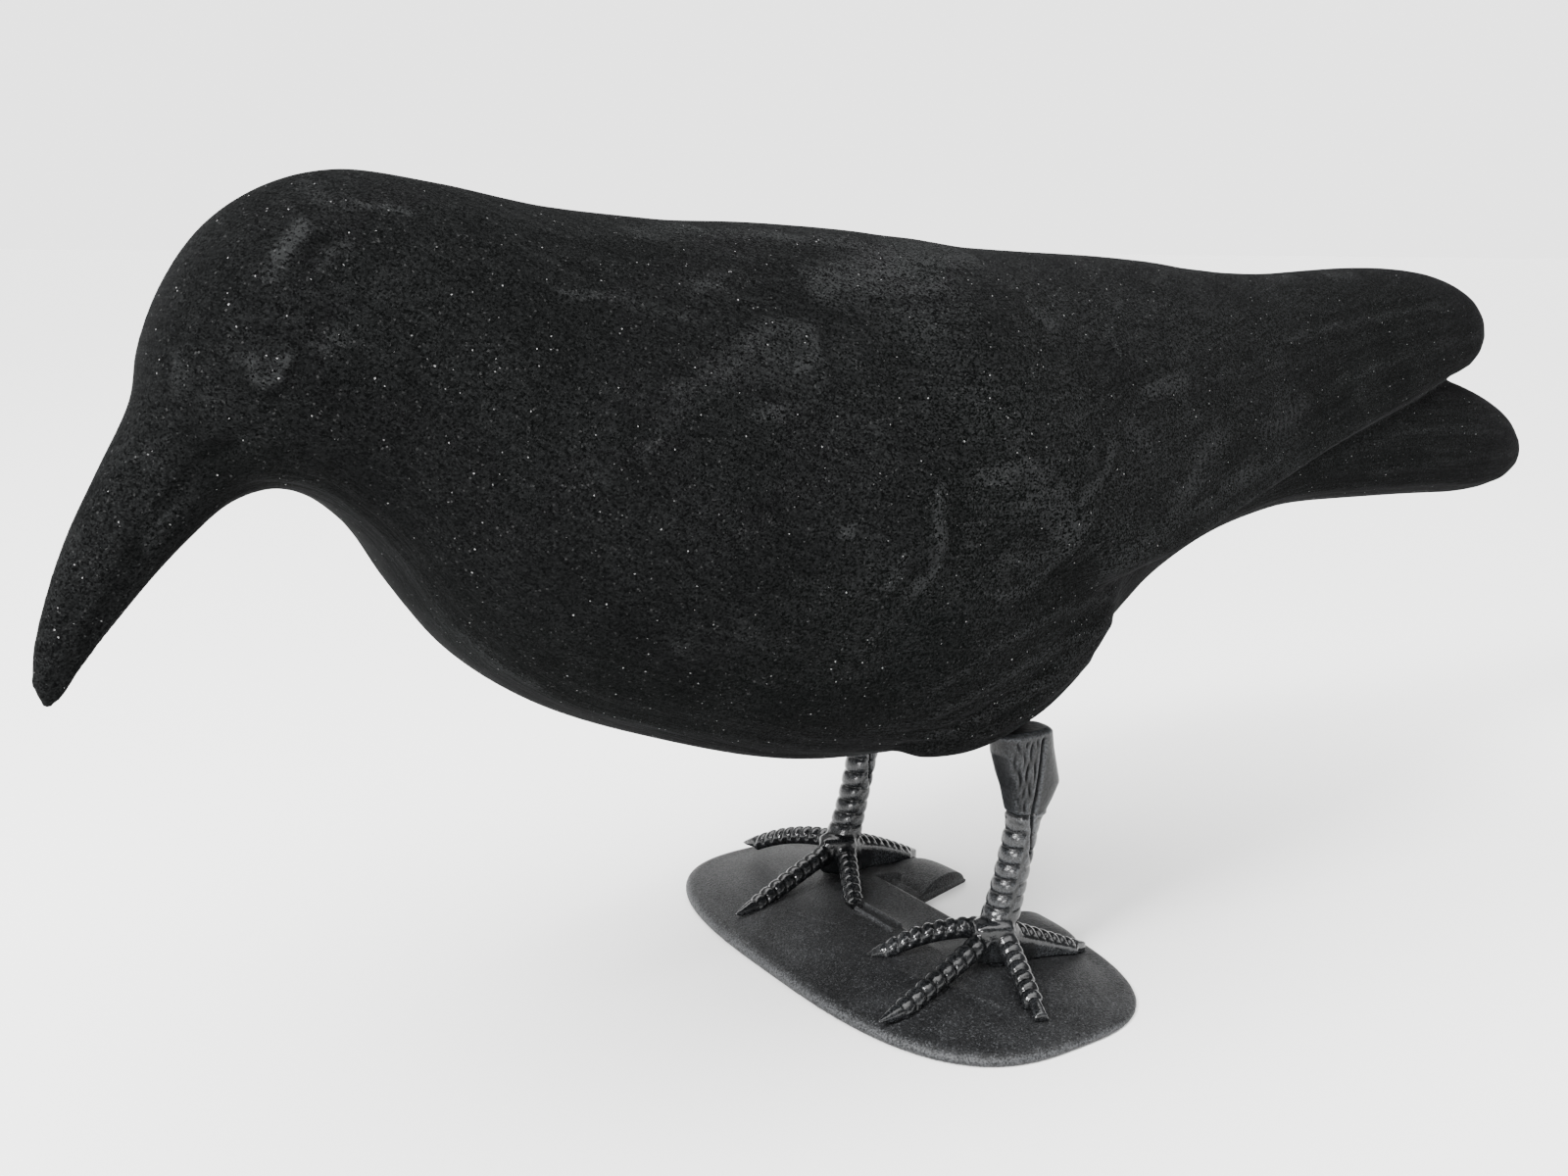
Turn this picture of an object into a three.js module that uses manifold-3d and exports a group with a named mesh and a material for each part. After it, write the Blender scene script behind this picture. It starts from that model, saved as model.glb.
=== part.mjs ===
// A crow decoy: a flocked, blow-moulded bird in a feeding stoop, two moulded legs and a domed base.
// Millimetres, +Z up. The beak points along -X, the bird's left side faces -Y, and the origin is on
// the ground under the middle of the base.
import * as THREE from 'three';
import Module from 'manifold-3d';
import { mergeVertices } from 'three/addons/utils/BufferGeometryUtils.js';

// Driving dimensions.
const BODY_LENGTH = 423; // beak to tail, measured level
const BODY_WIDTH = 104; // across the folded wings
const BODY_OFFSET = 1; // how far the drawn body stands back from the base's middle
const EYE_RING = 10.5; // across the ring round the eye
const BASE_LENGTH = 129; // across the bird
const BASE_WIDTH = 74; // along the bird
const BASE_SQUARENESS = 2.95; // exponent of the outline: 2 is an ellipse
const BASE_FRONT_RIM = 3.4; // height of the rounded rim under the toes
const BASE_REAR_RIM = 1.4;
const BASE_CREST = 6.4; // height of the dome
const CREST_OFFSET = -4; // where the crest lies along the bird
const RIM_ROUNDING = 2.6; // how far in from the edge the rim is rounded
const NOTCH_LENGTH = 32; // across the bird, at the rear edge
const NOTCH_INNER_LENGTH = 19; // across the bird, at its inner end
const NOTCH_DEPTH = 24.5; // in from the rear edge
const STEP_OFFSET = 11.5; // how far behind the base's middle the dome ends between the feet
const VALLEY_LENGTH = 54; // across the bird, with the slopes at its ends
const VALLEY_RISE = 2.4; // ground to its floor
const BAR_LENGTH = 61; // across the bird, behind the valley
const BAR_WIDTH = 19; // along the bird
const BAR_INSET = 1; // in from the rear edge
const BAR_RISE = 5; // ground to the bar's rounded top
const STANCE = 61; // between the ankles
const ANKLE_OFFSET = 7; // how far the ankles stand behind the base's middle
const LEG_HEIGHT = 60; // ground to the flat top of the thigh
const THIGH_LENGTH = 20;
const THIGH_DEPTH = 15; // along the bird, at its flat top
const THIGH_WIDTH = 9.4;
const SHIN_DEPTH = 7.7;
const SHIN_WIDTH = 7.4;
const SHIN_SCUTES = 6; // plates down the shin
const SHIN_SINK = 3; // how far the shin runs down into the foot's root
const LEG_LEAN = 0.23; // run over rise
const FOOT_TURN = 11.5; // degrees that both feet are turned
const FOOT_RISE = 9.4; // crest of the base to the top of the foot's root
const FOOT_ROOT = 13; // across the foot's root
const TOE_WIDTH = 6.6;
const TOE_THICKNESS = 1.65; // top to underside, over half its width
const CLAW_SHARE = 0.22; // of a toe's length
const CLAW_RISE = 0.9; // front rim of the base to the ridge of the claw's end
const FIT_GAP = 0.3; // between pieces that touch

// Toes: length, turn from the middle toe, and how late the ridge falls, for the left foot, then the
// right. spread is how much wider the hind toe grows to its root, sink how far below the foot's root
// its ridge starts, and walled says that a wall fills the space under it.
const TOES = {
  inner: { length: [30, 30], turn: [-45, 49], arch: [2.6, 1.1], scutes: 8 },
  middle: { length: [41, 39.5], turn: [0, 0], arch: [1, 1.2], scutes: 9 },
  outer: { length: [27, 33], turn: [57, -80], arch: [1.1, 2.2], scutes: 7 },
  hind: {
    length: [25.5, 27.5], turn: [163, 176], arch: [0.9, 1.3], scutes: 6,
    spread: 1.5, sink: [2.4, 0], walled: true,
  },
};

// Stations of the bird, from the beak or shoulders to the tail. Each gives the top [x, z] and the
// underside [x, z], the half width, and the share of its height at which it is widest. They are
// drawn for a bird of the sizes below, whose thighs end at DRAWN_LEG_HEIGHT.
const DRAWN_LENGTH = 422.8;
const DRAWN_WIDTH = 104;
const DRAWN_LEG_HEIGHT = 60;
const TRUNK = [
  { top: [-182.8, 87.4], low: [-182.8, 87.4], half: 0, widest: 0.5 }, // beak tip
  { top: [-184.5, 91.5], low: [-180.6, 89.4], half: 1.8, widest: 0.5 },
  { top: [-184.2, 97], low: [-177.6, 93.8], half: 3.2, widest: 0.55 },
  { top: [-181.3, 107], low: [-171.1, 101.7], half: 4.7, widest: 0.55 },
  { top: [-177.1, 117.2], low: [-164.5, 108.9], half: 6.4, widest: 0.55 },
  { top: [-171.7, 127.5], low: [-157.8, 115.4], half: 8.2, widest: 0.52 },
  { top: [-165.2, 139.5], low: [-151.0, 121.0], half: 11.5, widest: 0.5 }, // root of the beak
  { top: [-163.0, 148], low: [-144.0, 123.1], half: 18.0, widest: 0.5 },
  { top: [-158.2, 158.6], low: [-137.0, 120.8], half: 22.0, widest: 0.5 },
  { top: [-151.2, 168.0], low: [-130.6, 115.6], half: 24.5, widest: 0.5 },
  { top: [-141.6, 174.4], low: [-124.4, 108.0], half: 26.5, widest: 0.48 },
  { top: [-129.0, 177.6], low: [-119.0, 98.4], half: 29.5, widest: 0.46 }, // crown
  { top: [-112.0, 175.9], low: [-110.9, 87.6], half: 35.0, widest: 0.45 },
  { top: [-92.0, 172.3], low: [-97.2, 77.0], half: 41.0, widest: 0.45 },
  { top: [-68.0, 170.4], low: [-75.0, 66.9], half: 46.5, widest: 0.45 },
  { top: [-44.0, 169.9], low: [-48.5, 57.8], half: 50.5, widest: 0.45 },
  { top: [-20.0, 168.6], low: [-22.0, 54.2], half: 51.5, widest: 0.45 },
  { top: [4.0, 164.5], low: [2.0, 53.3], half: 47.5, widest: 0.46 }, // over the legs
  { top: [27.0, 159.0], low: [22.0, 57.2], half: 40.5, widest: 0.48 },
  { top: [50.0, 153.0], low: [43.0, 68.2], half: 31.0, widest: 0.5 },
  { top: [72.0, 148.0], low: [66.0, 81.4], half: 24.5, widest: 0.5 },
  { top: [96.0, 142.0], low: [92.0, 91.2], half: 21.0, widest: 0.5 },
  { top: [124.0, 138.0], low: [122.0, 96.2], half: 18.0, widest: 0.48 },
  { top: [154.0, 134.2], low: [154.0, 95.9], half: 16.5, widest: 0.46 },
  { top: [184.0, 130.9], low: [186.0, 94.6], half: 16.0, widest: 0.46 },
  { top: [206.0, 126.2], low: [209.0, 93.5], half: 15.0, widest: 0.46 },
  { top: [222.4, 119.8], low: [223.2, 94.6], half: 12.5, widest: 0.46 },
  { top: [232.8, 111.8], low: [232.4, 98.0], half: 8.5, widest: 0.46 },
  { top: [238.2, 104.2], low: [238.2, 104.2], half: 0, widest: 0.46 }, // end of the tail
];
const MANTLE = [
  { top: [-74.0, 140.0], low: [-74.0, 140.0], half: 0, widest: 0.5 }, // inside the shoulders
  { top: [-60.0, 163.0], low: [-60.0, 108.0], half: 33, widest: 0.5 },
  { top: [-36.0, 167.0], low: [-36.0, 94.0], half: 44.5, widest: 0.45 },
  { top: [-12.0, 167.6], low: [-12.0, 87.0], half: 52.0, widest: 0.38 },
  { top: [12.0, 165.2], low: [12.0, 86.0], half: 51.0, widest: 0.24 },
  { top: [38.0, 164.0], low: [38.0, 92.0], half: 45.0, widest: 0.12 },
  { top: [65.0, 162.6], low: [65.0, 99.0], half: 37.5, widest: 0.08 },
  { top: [92.0, 159.8], low: [92.0, 105.0], half: 30.5, widest: 0.08 },
  { top: [118.0, 158.8], low: [118.0, 111.0], half: 24.5, widest: 0.09 },
  { top: [144.0, 160.0], low: [144.0, 117.0], half: 20.0, widest: 0.11 },
  { top: [168.0, 160.2], low: [168.0, 122.5], half: 17.0, widest: 0.15 },
  { top: [187.0, 158.2], low: [187.0, 127.0], half: 14.5, widest: 0.22 },
  { top: [201.0, 154.2], low: [201.0, 129.5], half: 12.0, widest: 0.35 },
  { top: [209.2, 149.0], low: [209.2, 133.6], half: 8.0, widest: 0.45 },
  { top: [213.2, 141.8], low: [213.2, 141.8], half: 0, widest: 0.5 }, // wing tips
];

// Columns of a section: degrees round from the top, and how far the long feathers there stand out.
// They run to the ends of the wings and of the tail, from LONG_FEATHERS on.
const LONG_FEATHERS = { wing: 12, tail: 110 }; // drawn x
const WING_COLUMNS = [
  [0, 0], [20, 0], [38, 0.5], [54, -1.4], [62, 1.4], [70, -1.5], [76, 1.5], [83, -1.5], [90, 0.8],
  [118, 0], [148, 0], [180, 0],
];
const TAIL_COLUMNS = [
  [0, 0], [15, 0], [30, 0.8], [45, -0.8], [60, 0.8], [75, -0.8], [90, 0.8], [105, -0.8], [120, 0.8],
  [135, -0.8], [150, 0.4], [165, 0], [180, 0],
];

// Feathers that stand out of the skin, drawn like the stations: root and tip [x, z], width, and how
// far the rounded end stands proud.
const FEATHERS = [
  { root: [-137, 169], tip: [-147.5, 155], width: 6, proud: 0.9 }, // brow
  { root: [-100, 124], tip: [-53, 148], width: 17, proud: 1.1 }, // shoulder
  { root: [-66, 118], tip: [-41, 103], width: 13, proud: 1 }, // wing coverts
  { root: [-62, 127], tip: [-30, 110], width: 21, proud: 1.1 },
  { root: [-44, 130], tip: [14, 108], width: 34, proud: 1.4 },
];
const FEATHER_SINK = 1.5; // the feathers' edges, below the skin
const FEATHER_DEPTH = 3; // the rest of a feather's thickness, inside the body
const EYE = [-148.8, 147.1];
const GAPE = [[-173.6, 103], [-164.8, 117.4], [-156.2, 130], [-149.5, 135]]; // line of the mouth
const GAPE_GROOVE = 0.9; // radius

const wasm = await Module();
wasm.setup();

const FLOCK = new THREE.MeshStandardMaterial({ color: 0x0b0b0c, roughness: 1, metalness: 0 });
const PLASTIC = new THREE.MeshStandardMaterial({ color: 0x1b1c1e, roughness: 0.38, metalness: 0 });

const { lerp, clamp, smoothstep, degToRad } = THREE.MathUtils;
const SIDES = [-1, 1]; // the bird's left, then its right

// A closed form with a pole at each end: pointAt takes the share round and the share along.
function lofted(around, along, pointAt) {
  const form = new THREE.SphereGeometry(1, around, along);
  const place = form.attributes.position;
  for (let row = 0, vertex = 0; row <= along; row++) {
    for (let column = 0; column <= around; column++, vertex++) {
      const point = pointAt((column % around) / around, row / along);
      place.setXYZ(vertex, point.x, point.y, point.z);
    }
  }
  return form;
}

// Turns a closed geometry into a solid for joining and cutting.
function solidOf(geometry) {
  geometry.deleteAttribute('normal');
  geometry.deleteAttribute('uv');
  const merged = mergeVertices(geometry, 1e-4);
  const mesh = new wasm.Mesh({
    numProp: 3,
    vertProperties: new Float32Array(merged.attributes.position.array),
    triVerts: new Uint32Array(merged.index.array),
  });
  return new wasm.Manifold(mesh);
}

function pieceOf(name, solid, material) {
  const { vertProperties, triVerts } = solid.getMesh();
  const geometry = new THREE.BufferGeometry();
  geometry.setAttribute('position', new THREE.BufferAttribute(vertProperties, 3));
  geometry.setIndex(new THREE.BufferAttribute(triVerts, 1));
  geometry.computeVertexNormals();
  const piece = new THREE.Mesh(geometry, material);
  piece.name = name;
  return piece;
}

const joined = (parts) => parts.reduce((whole, part) => whole.add(part));

const powered = (value, power) => Math.sign(value) * Math.abs(value) ** power;

// The base: a dome whose outline is a superellipse, with a rounded rim that thins to the rear.
function basePoint(turn, inset) {
  const power = 2 / BASE_SQUARENESS;
  return new THREE.Vector3(
    (BASE_WIDTH / 2 - inset) * powered(Math.cos(turn), power),
    (BASE_LENGTH / 2 - inset) * powered(Math.sin(turn), power),
    0
  );
}

function makeBaseDome() {
  // Rows up the rim: shares of its rounding, in from the outline, and of its height.
  const rimRows = [
    { inset: 0.35, rise: 0 },
    { inset: 0.04, rise: 0.25 },
    { inset: 0, rise: 0.55 },
    { inset: 0.28, rise: 0.86 },
    { inset: 1, rise: 1 },
  ];
  const domeRows = 4;
  const rows = rimRows.length + domeRows + 1;
  return solidOf(lofted(36, rows, (round, along) => {
    const turn = -round * 2 * Math.PI;
    const row = Math.round(along * rows);
    if (row === 0) return new THREE.Vector3();
    const rim = lerp(BASE_FRONT_RIM, BASE_REAR_RIM, (1 + Math.cos(turn)) / 2);
    const { inset, rise } = rimRows[Math.min(row, rimRows.length) - 1];
    const point = basePoint(turn, inset * RIM_ROUNDING);
    point.z = rim * rise;
    if (row <= rimRows.length) return point;
    const climb = (row - rimRows.length) / (domeRows + 1);
    const crest = new THREE.Vector3(CREST_OFFSET, 0, BASE_CREST);
    const share = climb < 1 ? 1 - climb ** 1.3 : 0;
    const height = lerp(BASE_CREST, rim, share ** 2.2);
    return point.lerp(crest, 1 - share).setZ(height);
  }));
}

// What is taken off the dome between the feet, behind the step: a valley with sloping ends.
function makeValley() {
  const reach = BASE_WIDTH / 2;
  const form = new THREE.BoxGeometry(reach, VALLEY_LENGTH, 1, 1, 8, 1);
  const place = form.attributes.position;
  const end = VALLEY_LENGTH / 2;
  const slopeStart = 0.7 * end;
  const abovePlate = 1.1 * BASE_CREST;
  for (let vertex = 0; vertex < place.count; vertex++) {
    const slope = smoothstep(Math.abs(place.getY(vertex)), slopeStart, end);
    const floor = lerp(VALLEY_RISE, abovePlate, slope);
    place.setX(vertex, place.getX(vertex) + reach / 2 + STEP_OFFSET);
    place.setZ(vertex, place.getZ(vertex) < 0 ? floor : 2 * abovePlate);
  }
  return solidOf(form);
}

// The rounded bar behind the valley. Its ends run in under the hind toes.
function makeBar() {
  const middle = (BASE_WIDTH - BAR_WIDTH) / 2 - BAR_INSET;
  const endSquareness = 6;
  const bar = solidOf(lofted(20, 14, (round, along) => {
    const share = -Math.cos(along * Math.PI);
    const atEnd = along === 0 || along === 1;
    const girth = atEnd ? 0 : (1 - share ** endSquareness) ** (1 / endSquareness);
    const turn = -round * 2 * Math.PI;
    return new THREE.Vector3(
      middle + (BAR_WIDTH / 2) * girth * powered(Math.sin(turn), 0.9),
      (BAR_LENGTH / 2) * share,
      BAR_RISE * girth * powered(Math.cos(turn), 0.9)
    );
  }));
  return bar.trimByPlane([0, 0, 1], BASE_REAR_RIM / 2);
}

// The notch in the rear edge widens toward the edge, and its cut runs on as far again beyond it.
function makeNotch() {
  const inner = { x: BASE_WIDTH / 2 - NOTCH_DEPTH, y: NOTCH_INNER_LENGTH / 2 };
  const outer = { x: BASE_WIDTH / 2 + NOTCH_DEPTH, y: NOTCH_LENGTH - NOTCH_INNER_LENGTH / 2 };
  const outline = new THREE.Shape([
    new THREE.Vector2(inner.x, -inner.y),
    new THREE.Vector2(outer.x, -outer.y),
    new THREE.Vector2(outer.x, outer.y),
    new THREE.Vector2(inner.x, inner.y),
  ]);
  const tall = 3 * BASE_CREST;
  const form = new THREE.ExtrudeGeometry(outline, { depth: tall, bevelEnabled: false });
  return solidOf(form.translate(0, 0, -tall / 2));
}

// A leg: side is -1 on the bird's left.
const footTop = BASE_CREST + FOOT_RISE;
const SOLE = 0.5; // lowest point of the foot's forms, inside the base, before the base is cut away
const ankle = (side) => new THREE.Vector3(ANKLE_OFFSET, (side * STANCE) / 2, 0);

// grow makes the thigh's form larger, to cut its seat.
function makeThigh(side, grow = 0) {
  const knee = LEG_LEAN * (LEG_HEIGHT - THIGH_LENGTH - footTop);
  const shin = { front: knee - SHIN_DEPTH / 2, rear: knee + SHIN_DEPTH / 2, half: SHIN_WIDTH / 2 };
  // Shares of the thigh's depth, from the ankle, and of its width; down is a share of its length.
  const block = [
    { down: 0, front: -0.17, rear: 0.71, half: 0.42 },
    { down: 0.03, front: -0.22, rear: 0.76, half: 0.5 },
    { down: 0.25, front: -0.21, rear: 0.8, half: 0.51 },
    { down: 0.5, front: -0.1, rear: 0.88, half: 0.5 },
    { down: 0.7, front: 0.01, rear: 0.95, half: 0.47 }, // the fin at its rear
    { down: 0.85, front: 0.07, rear: 0.84, half: 0.44 },
  ].map(({ down, front, rear, half }) => (
    { down, front: front * THIGH_DEPTH, rear: rear * THIGH_DEPTH, half: half * THIGH_WIDTH }
  ));
  const rows = [...block, { down: 1, ...shin, rear: shin.rear + SHIN_DEPTH / 6 }, { down: 1.12, ...shin }];
  const count = rows.length + 1;
  return solidOf(lofted(12, count, (round, along) => {
    const row = Math.round(along * count);
    const { down, front, rear, half } = rows[clamp(row - 1, 0, rows.length - 1)];
    const centre = ankle(side);
    centre.x += (front + rear) / 2;
    centre.z = LEG_HEIGHT + (row < 2 ? grow : 0) - down * THIGH_LENGTH;
    if (row === 0 || row === count) return centre;
    const turn = round * 2 * Math.PI;
    centre.x += ((rear - front) / 2 + grow) * powered(Math.cos(turn), 0.75);
    centre.y += (half + grow) * powered(Math.sin(turn), 0.75);
    return centre;
  }));
}

// The shin: a column ringed with rounded plates, flaring forward into the foot.
function makeShin(side) {
  const foot = footTop - SHIN_SINK;
  const rise = LEG_HEIGHT - THIGH_LENGTH - foot;
  const rowsEach = 2;
  const rows = SHIN_SCUTES * rowsEach + 2;
  return solidOf(lofted(10, rows, (round, along) => {
    const row = clamp(Math.round(along * rows) - 1, 0, rows - 2);
    const up = 1 - row / (rows - 2);
    const swell = 0.94 + 0.12 * Math.abs(Math.sin((row / rowsEach) * Math.PI)) ** 0.7;
    const flare = (1 - up) ** 4;
    const centre = ankle(side);
    centre.x += LEG_LEAN * up * rise - 0.2 * SHIN_DEPTH * flare;
    centre.z = foot + up * rise;
    if (along === 0 || along === 1) return centre;
    const turn = round * 2 * Math.PI;
    centre.x += (SHIN_DEPTH / 2) * (swell + 0.5 * flare) * Math.cos(turn);
    centre.y += (SHIN_WIDTH / 2) * (swell + 0.35 * flare) * Math.sin(turn);
    return centre;
  }));
}

// A toe: a finger with a plated top, falling from the foot's root to a pointed claw on the base. The
// hind toe has a wall under it.
function makeToe(side, { length, turn, arch, scutes, spread = 1, sink = [0, 0], walled = false }) {
  const foot = side < 0 ? 0 : 1;
  const heading = Math.PI + degToRad(turn[foot] + FOOT_TURN);
  const end = BASE_FRONT_RIM + CLAW_RISE;
  const rows = scutes * 2 + 4;
  return solidOf(lofted(6, rows, (round, along) => {
    const plated = along < 1 - CLAW_SHARE;
    const plate = plated && Math.round(along * rows) % 2 === 0 ? 1 : 0;
    const taper = plated ? 1 - 0.25 * along : 0.8 * ((1 - along) / CLAW_SHARE) ** 0.8;
    const half = (TOE_WIDTH / 2) * spread ** (1 - along) * taper * (1 + 0.08 * plate);
    const ridge = lerp(footTop - sink[foot], end, along ** arch[foot]) + 0.7 * plate;
    const centre = ankle(side);
    const across = Math.sin(round * 2 * Math.PI);
    const rise = Math.cos(round * 2 * Math.PI);
    const out = along * length[foot];
    const atEnd = along === 0 || along === 1;
    const low = walled ? SOLE : Math.max(SOLE, ridge - TOE_THICKNESS * half);
    const wide = atEnd ? 0 : half * across * (1 - 0.42 * Math.max(rise, 0));
    centre.x += out * Math.cos(heading) - wide * Math.sin(heading);
    centre.y += out * Math.sin(heading) + wide * Math.cos(heading);
    centre.z = along === 1 ? end - 0.5 : lerp(low, ridge, atEnd ? 0.5 : (rise + 1) / 2);
    return centre;
  }));
}

function makeFootRoot(side) {
  const form = new THREE.SphereGeometry(FOOT_ROOT / 2, 10, 5).rotateX(Math.PI / 2);
  form.scale(1.06, 0.96, (footTop - SOLE) / FOOT_ROOT);
  return solidOf(form.translate(ANKLE_OFFSET - 0.4, (side * STANCE) / 2, (footTop + SOLE) / 2));
}

function makeLeg(side, dome) {
  const toes = Object.values(TOES).map((toe) => makeToe(side, toe));
  const leg = joined([makeThigh(side), makeShin(side), makeFootRoot(side), ...toes]);
  return leg.subtract(dome.translate([0, 0, FIT_GAP]));
}

// Where a drawn [x, z] lies on the bird at its own size, with the tops of the thighs as datum.
const SCALE = BODY_LENGTH / DRAWN_LENGTH;
function placed([x, z]) {
  return new THREE.Vector3(BODY_OFFSET + x * SCALE, 0, LEG_HEIGHT + (z - DRAWN_LEG_HEIGHT) * SCALE);
}

// Smooth curves through a form's stations. A section is two half superellipses that meet where it
// is widest; squareTop and squareLow are their exponents.
function formOf(stations, squareTop, squareLow, columns, start) {
  const broad = BODY_WIDTH / DRAWN_WIDTH;
  return {
    squareTop,
    squareLow,
    columns,
    from: placed([start, 0]).x,
    top: new THREE.CatmullRomCurve3(stations.map(({ top }) => placed(top))),
    low: new THREE.CatmullRomCurve3(stations.map(({ low }) => placed(low))),
    girth: new THREE.CatmullRomCurve3(
      stations.map(({ half, widest }) => new THREE.Vector3(half * broad, widest, 0))
    ),
  };
}

function skinPoint(form, round, along) {
  const top = form.top.getPoint(along);
  const low = form.low.getPoint(along);
  const { x: half, y: widest } = form.girth.getPoint(along);
  const column = Math.round(round * 2 * (form.columns.length - 1));
  const mirrored = column >= form.columns.length;
  const [degrees, relief] = form.columns[mirrored ? 2 * (form.columns.length - 1) - column : column];
  const turn = degToRad(mirrored ? -degrees : degrees);
  const rise = Math.cos(turn);
  const power = 2 / (rise > 0 ? form.squareTop : form.squareLow);
  const height = widest + (rise > 0 ? 1 - widest : widest) * powered(rise, power);
  const point = low.lerp(top, height);
  const fade = smoothstep(point.x, form.from, form.from + 30) * smoothstep(half, 2, 18);
  const out = (Math.max(half, 0) + relief * fade) * powered(Math.sin(turn), power);
  return point.setY(out);
}

const trunkForm = formOf(TRUNK, 2.1, 2.3, TAIL_COLUMNS, LONG_FEATHERS.tail);
const mantleForm = formOf(MANTLE, 2.2, 2, WING_COLUMNS, LONG_FEATHERS.wing);

function makeForm(form, rows) {
  const around = 2 * (form.columns.length - 1);
  return solidOf(lofted(around, rows, (round, along) => skinPoint(form, round, along)));
}

// How far out from the middle plane a form's skin lies at a point of that plane.
function formWidth(form, point) {
  let before = 0;
  let beyond = 1;
  for (let halving = 0; halving < 20; halving++) {
    const along = (before + beyond) / 2;
    const low = form.low.getPoint(along);
    const chord = form.top.getPoint(along).sub(low);
    const behind = chord.cross(point.clone().sub(low)).y > 0;
    if (behind) before = along;
    else beyond = along;
  }
  const low = form.low.getPoint(before);
  const chord = form.top.getPoint(before).sub(low);
  const height = chord.dot(point.clone().sub(low)) / Math.max(chord.lengthSq(), 1e-6);
  const { x: half, y: widest } = form.girth.getPoint(before);
  const rise = height > widest ? (height - widest) / (1 - widest) : (widest - height) / widest;
  const square = height > widest ? form.squareTop : form.squareLow;
  return rise < 1 ? Math.max(half, 0) * (1 - rise ** square) ** (1 / square) : 0;
}

const skinWidth = (point) => Math.max(formWidth(trunkForm, point), formWidth(mantleForm, point));

// A feather: a plate that follows the skin, sunk at its root and proud at its rounded end, where
// its rows lie closer.
function makeFeather(side, { root, tip, width, proud }) {
  const start = placed(root);
  const end = placed(tip);
  const across = new THREE.Vector3(start.z - end.z, 0, end.x - start.x).normalize();
  return solidOf(lofted(8, 6, (round, row) => {
    const turn = -side * round * 2 * Math.PI;
    const along = 1 - (1 - row) ** 1.7;
    const taper = along < 0.5 ? 0.55 + 0.9 * along : Math.sqrt(Math.max(1 - (2 * along - 1) ** 4, 0));
    const half = row > 0 && row < 1 ? (width / 2) * taper : 0;
    const point = start.clone().lerp(end, along).addScaledVector(across, half * Math.sin(turn));
    const lift = half > 0 ? powered(Math.cos(turn), 0.4) : 0;
    const out = lift * (lift > 0 ? FEATHER_SINK + proud * along : FEATHER_DEPTH);
    return point.setY(side * Math.max(skinWidth(point) - FEATHER_SINK + out, 0.5));
  }));
}

// The eye: a ball in a raised ring, turned on the normal of the skin.
function makeEye(side) {
  const seat = placed(EYE);
  const width = skinWidth(seat);
  const nudge = EYE_RING / 4;
  const slopeX = (skinWidth(seat.clone().setX(seat.x + nudge)) - width) / nudge;
  const slopeZ = (skinWidth(seat.clone().setZ(seat.z + nudge)) - width) / nudge;
  const normal = new THREE.Vector3(-slopeX, side, -slopeZ).normalize();
  // Radius and height off the skin, as shares of the ring's radius.
  const profile = [[0, -0.8], [1, -0.6], [1, 0], [0.84, 0.24], [0.66, 0.04], [0.42, 0.26], [0, 0.4]];
  const points = profile.map(([radius, height]) => (
    new THREE.Vector2((radius * EYE_RING) / 2, (height * EYE_RING) / 2)
  ));
  const form = new THREE.LatheGeometry(points, 10);
  const turn = new THREE.Quaternion().setFromUnitVectors(new THREE.Vector3(0, 1, 0), normal);
  return solidOf(form.applyQuaternion(turn).translate(seat.x, side * width, seat.z));
}

// The line of the mouth: a groove that follows the side of the beak.
function makeGape(side) {
  const path = new THREE.CatmullRomCurve3(GAPE.map((point) => placed(point)));
  return solidOf(lofted(5, 8, (round, along) => {
    const point = path.getPoint(along);
    const heading = path.getTangent(along);
    const turn = -side * round * 2 * Math.PI;
    const radius = GAPE_GROOVE * Math.sin(along * Math.PI) ** 0.5;
    const width = skinWidth(point);
    point.addScaledVector(new THREE.Vector3(-heading.z, 0, heading.x), radius * Math.sin(turn));
    point.y = side * (width + radius * Math.cos(turn));
    return point;
  }));
}

// The bulge of feathers over each leg.
function makeFlank(side) {
  const form = new THREE.SphereGeometry(1, 14, 8);
  form.scale(35.5 * SCALE, 14.5 * SCALE, 18.5 * SCALE);
  form.rotateY(degToRad(-26));
  return solidOf(form.translate(ANKLE_OFFSET, side * (STANCE / 2 - 3.5), LEG_HEIGHT + 19 * SCALE));
}

function makeBody() {
  const trunk = makeForm(trunkForm, 50);
  const mantle = makeForm(mantleForm, 27);
  const relief = SIDES.flatMap((side) => [
    makeFlank(side),
    makeEye(side),
    ...FEATHERS.map((feather) => makeFeather(side, feather)),
  ]);
  const cuts = SIDES.flatMap((side) => [makeThigh(side, FIT_GAP), makeGape(side)]);
  return cuts.reduce((whole, cut) => whole.subtract(cut), joined([trunk, mantle, ...relief]));
}

const dome = makeBaseDome().subtract(makeValley()).add(makeBar());
const group = new THREE.Group();
group.add(
  pieceOf('body', makeBody(), FLOCK),
  pieceOf('left_leg', makeLeg(-1, dome), PLASTIC),
  pieceOf('right_leg', makeLeg(1, dome), PLASTIC),
  pieceOf('base', dome.subtract(makeNotch()), PLASTIC)
);

export default group;
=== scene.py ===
"""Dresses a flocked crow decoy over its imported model.

Metres, +Z up. The beak points along -X, the bird's left side faces -Y, and z = 0 is the ground. Sizes
in the tables and classes are millimetres, and a piece is brought to metres when its mesh is closed.
"""
import logging
import math
from collections.abc import Callable
from dataclasses import dataclass
from enum import Enum
from functools import partial

import bmesh
import bpy
import numpy as np
from mathutils import Matrix, Vector


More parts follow.
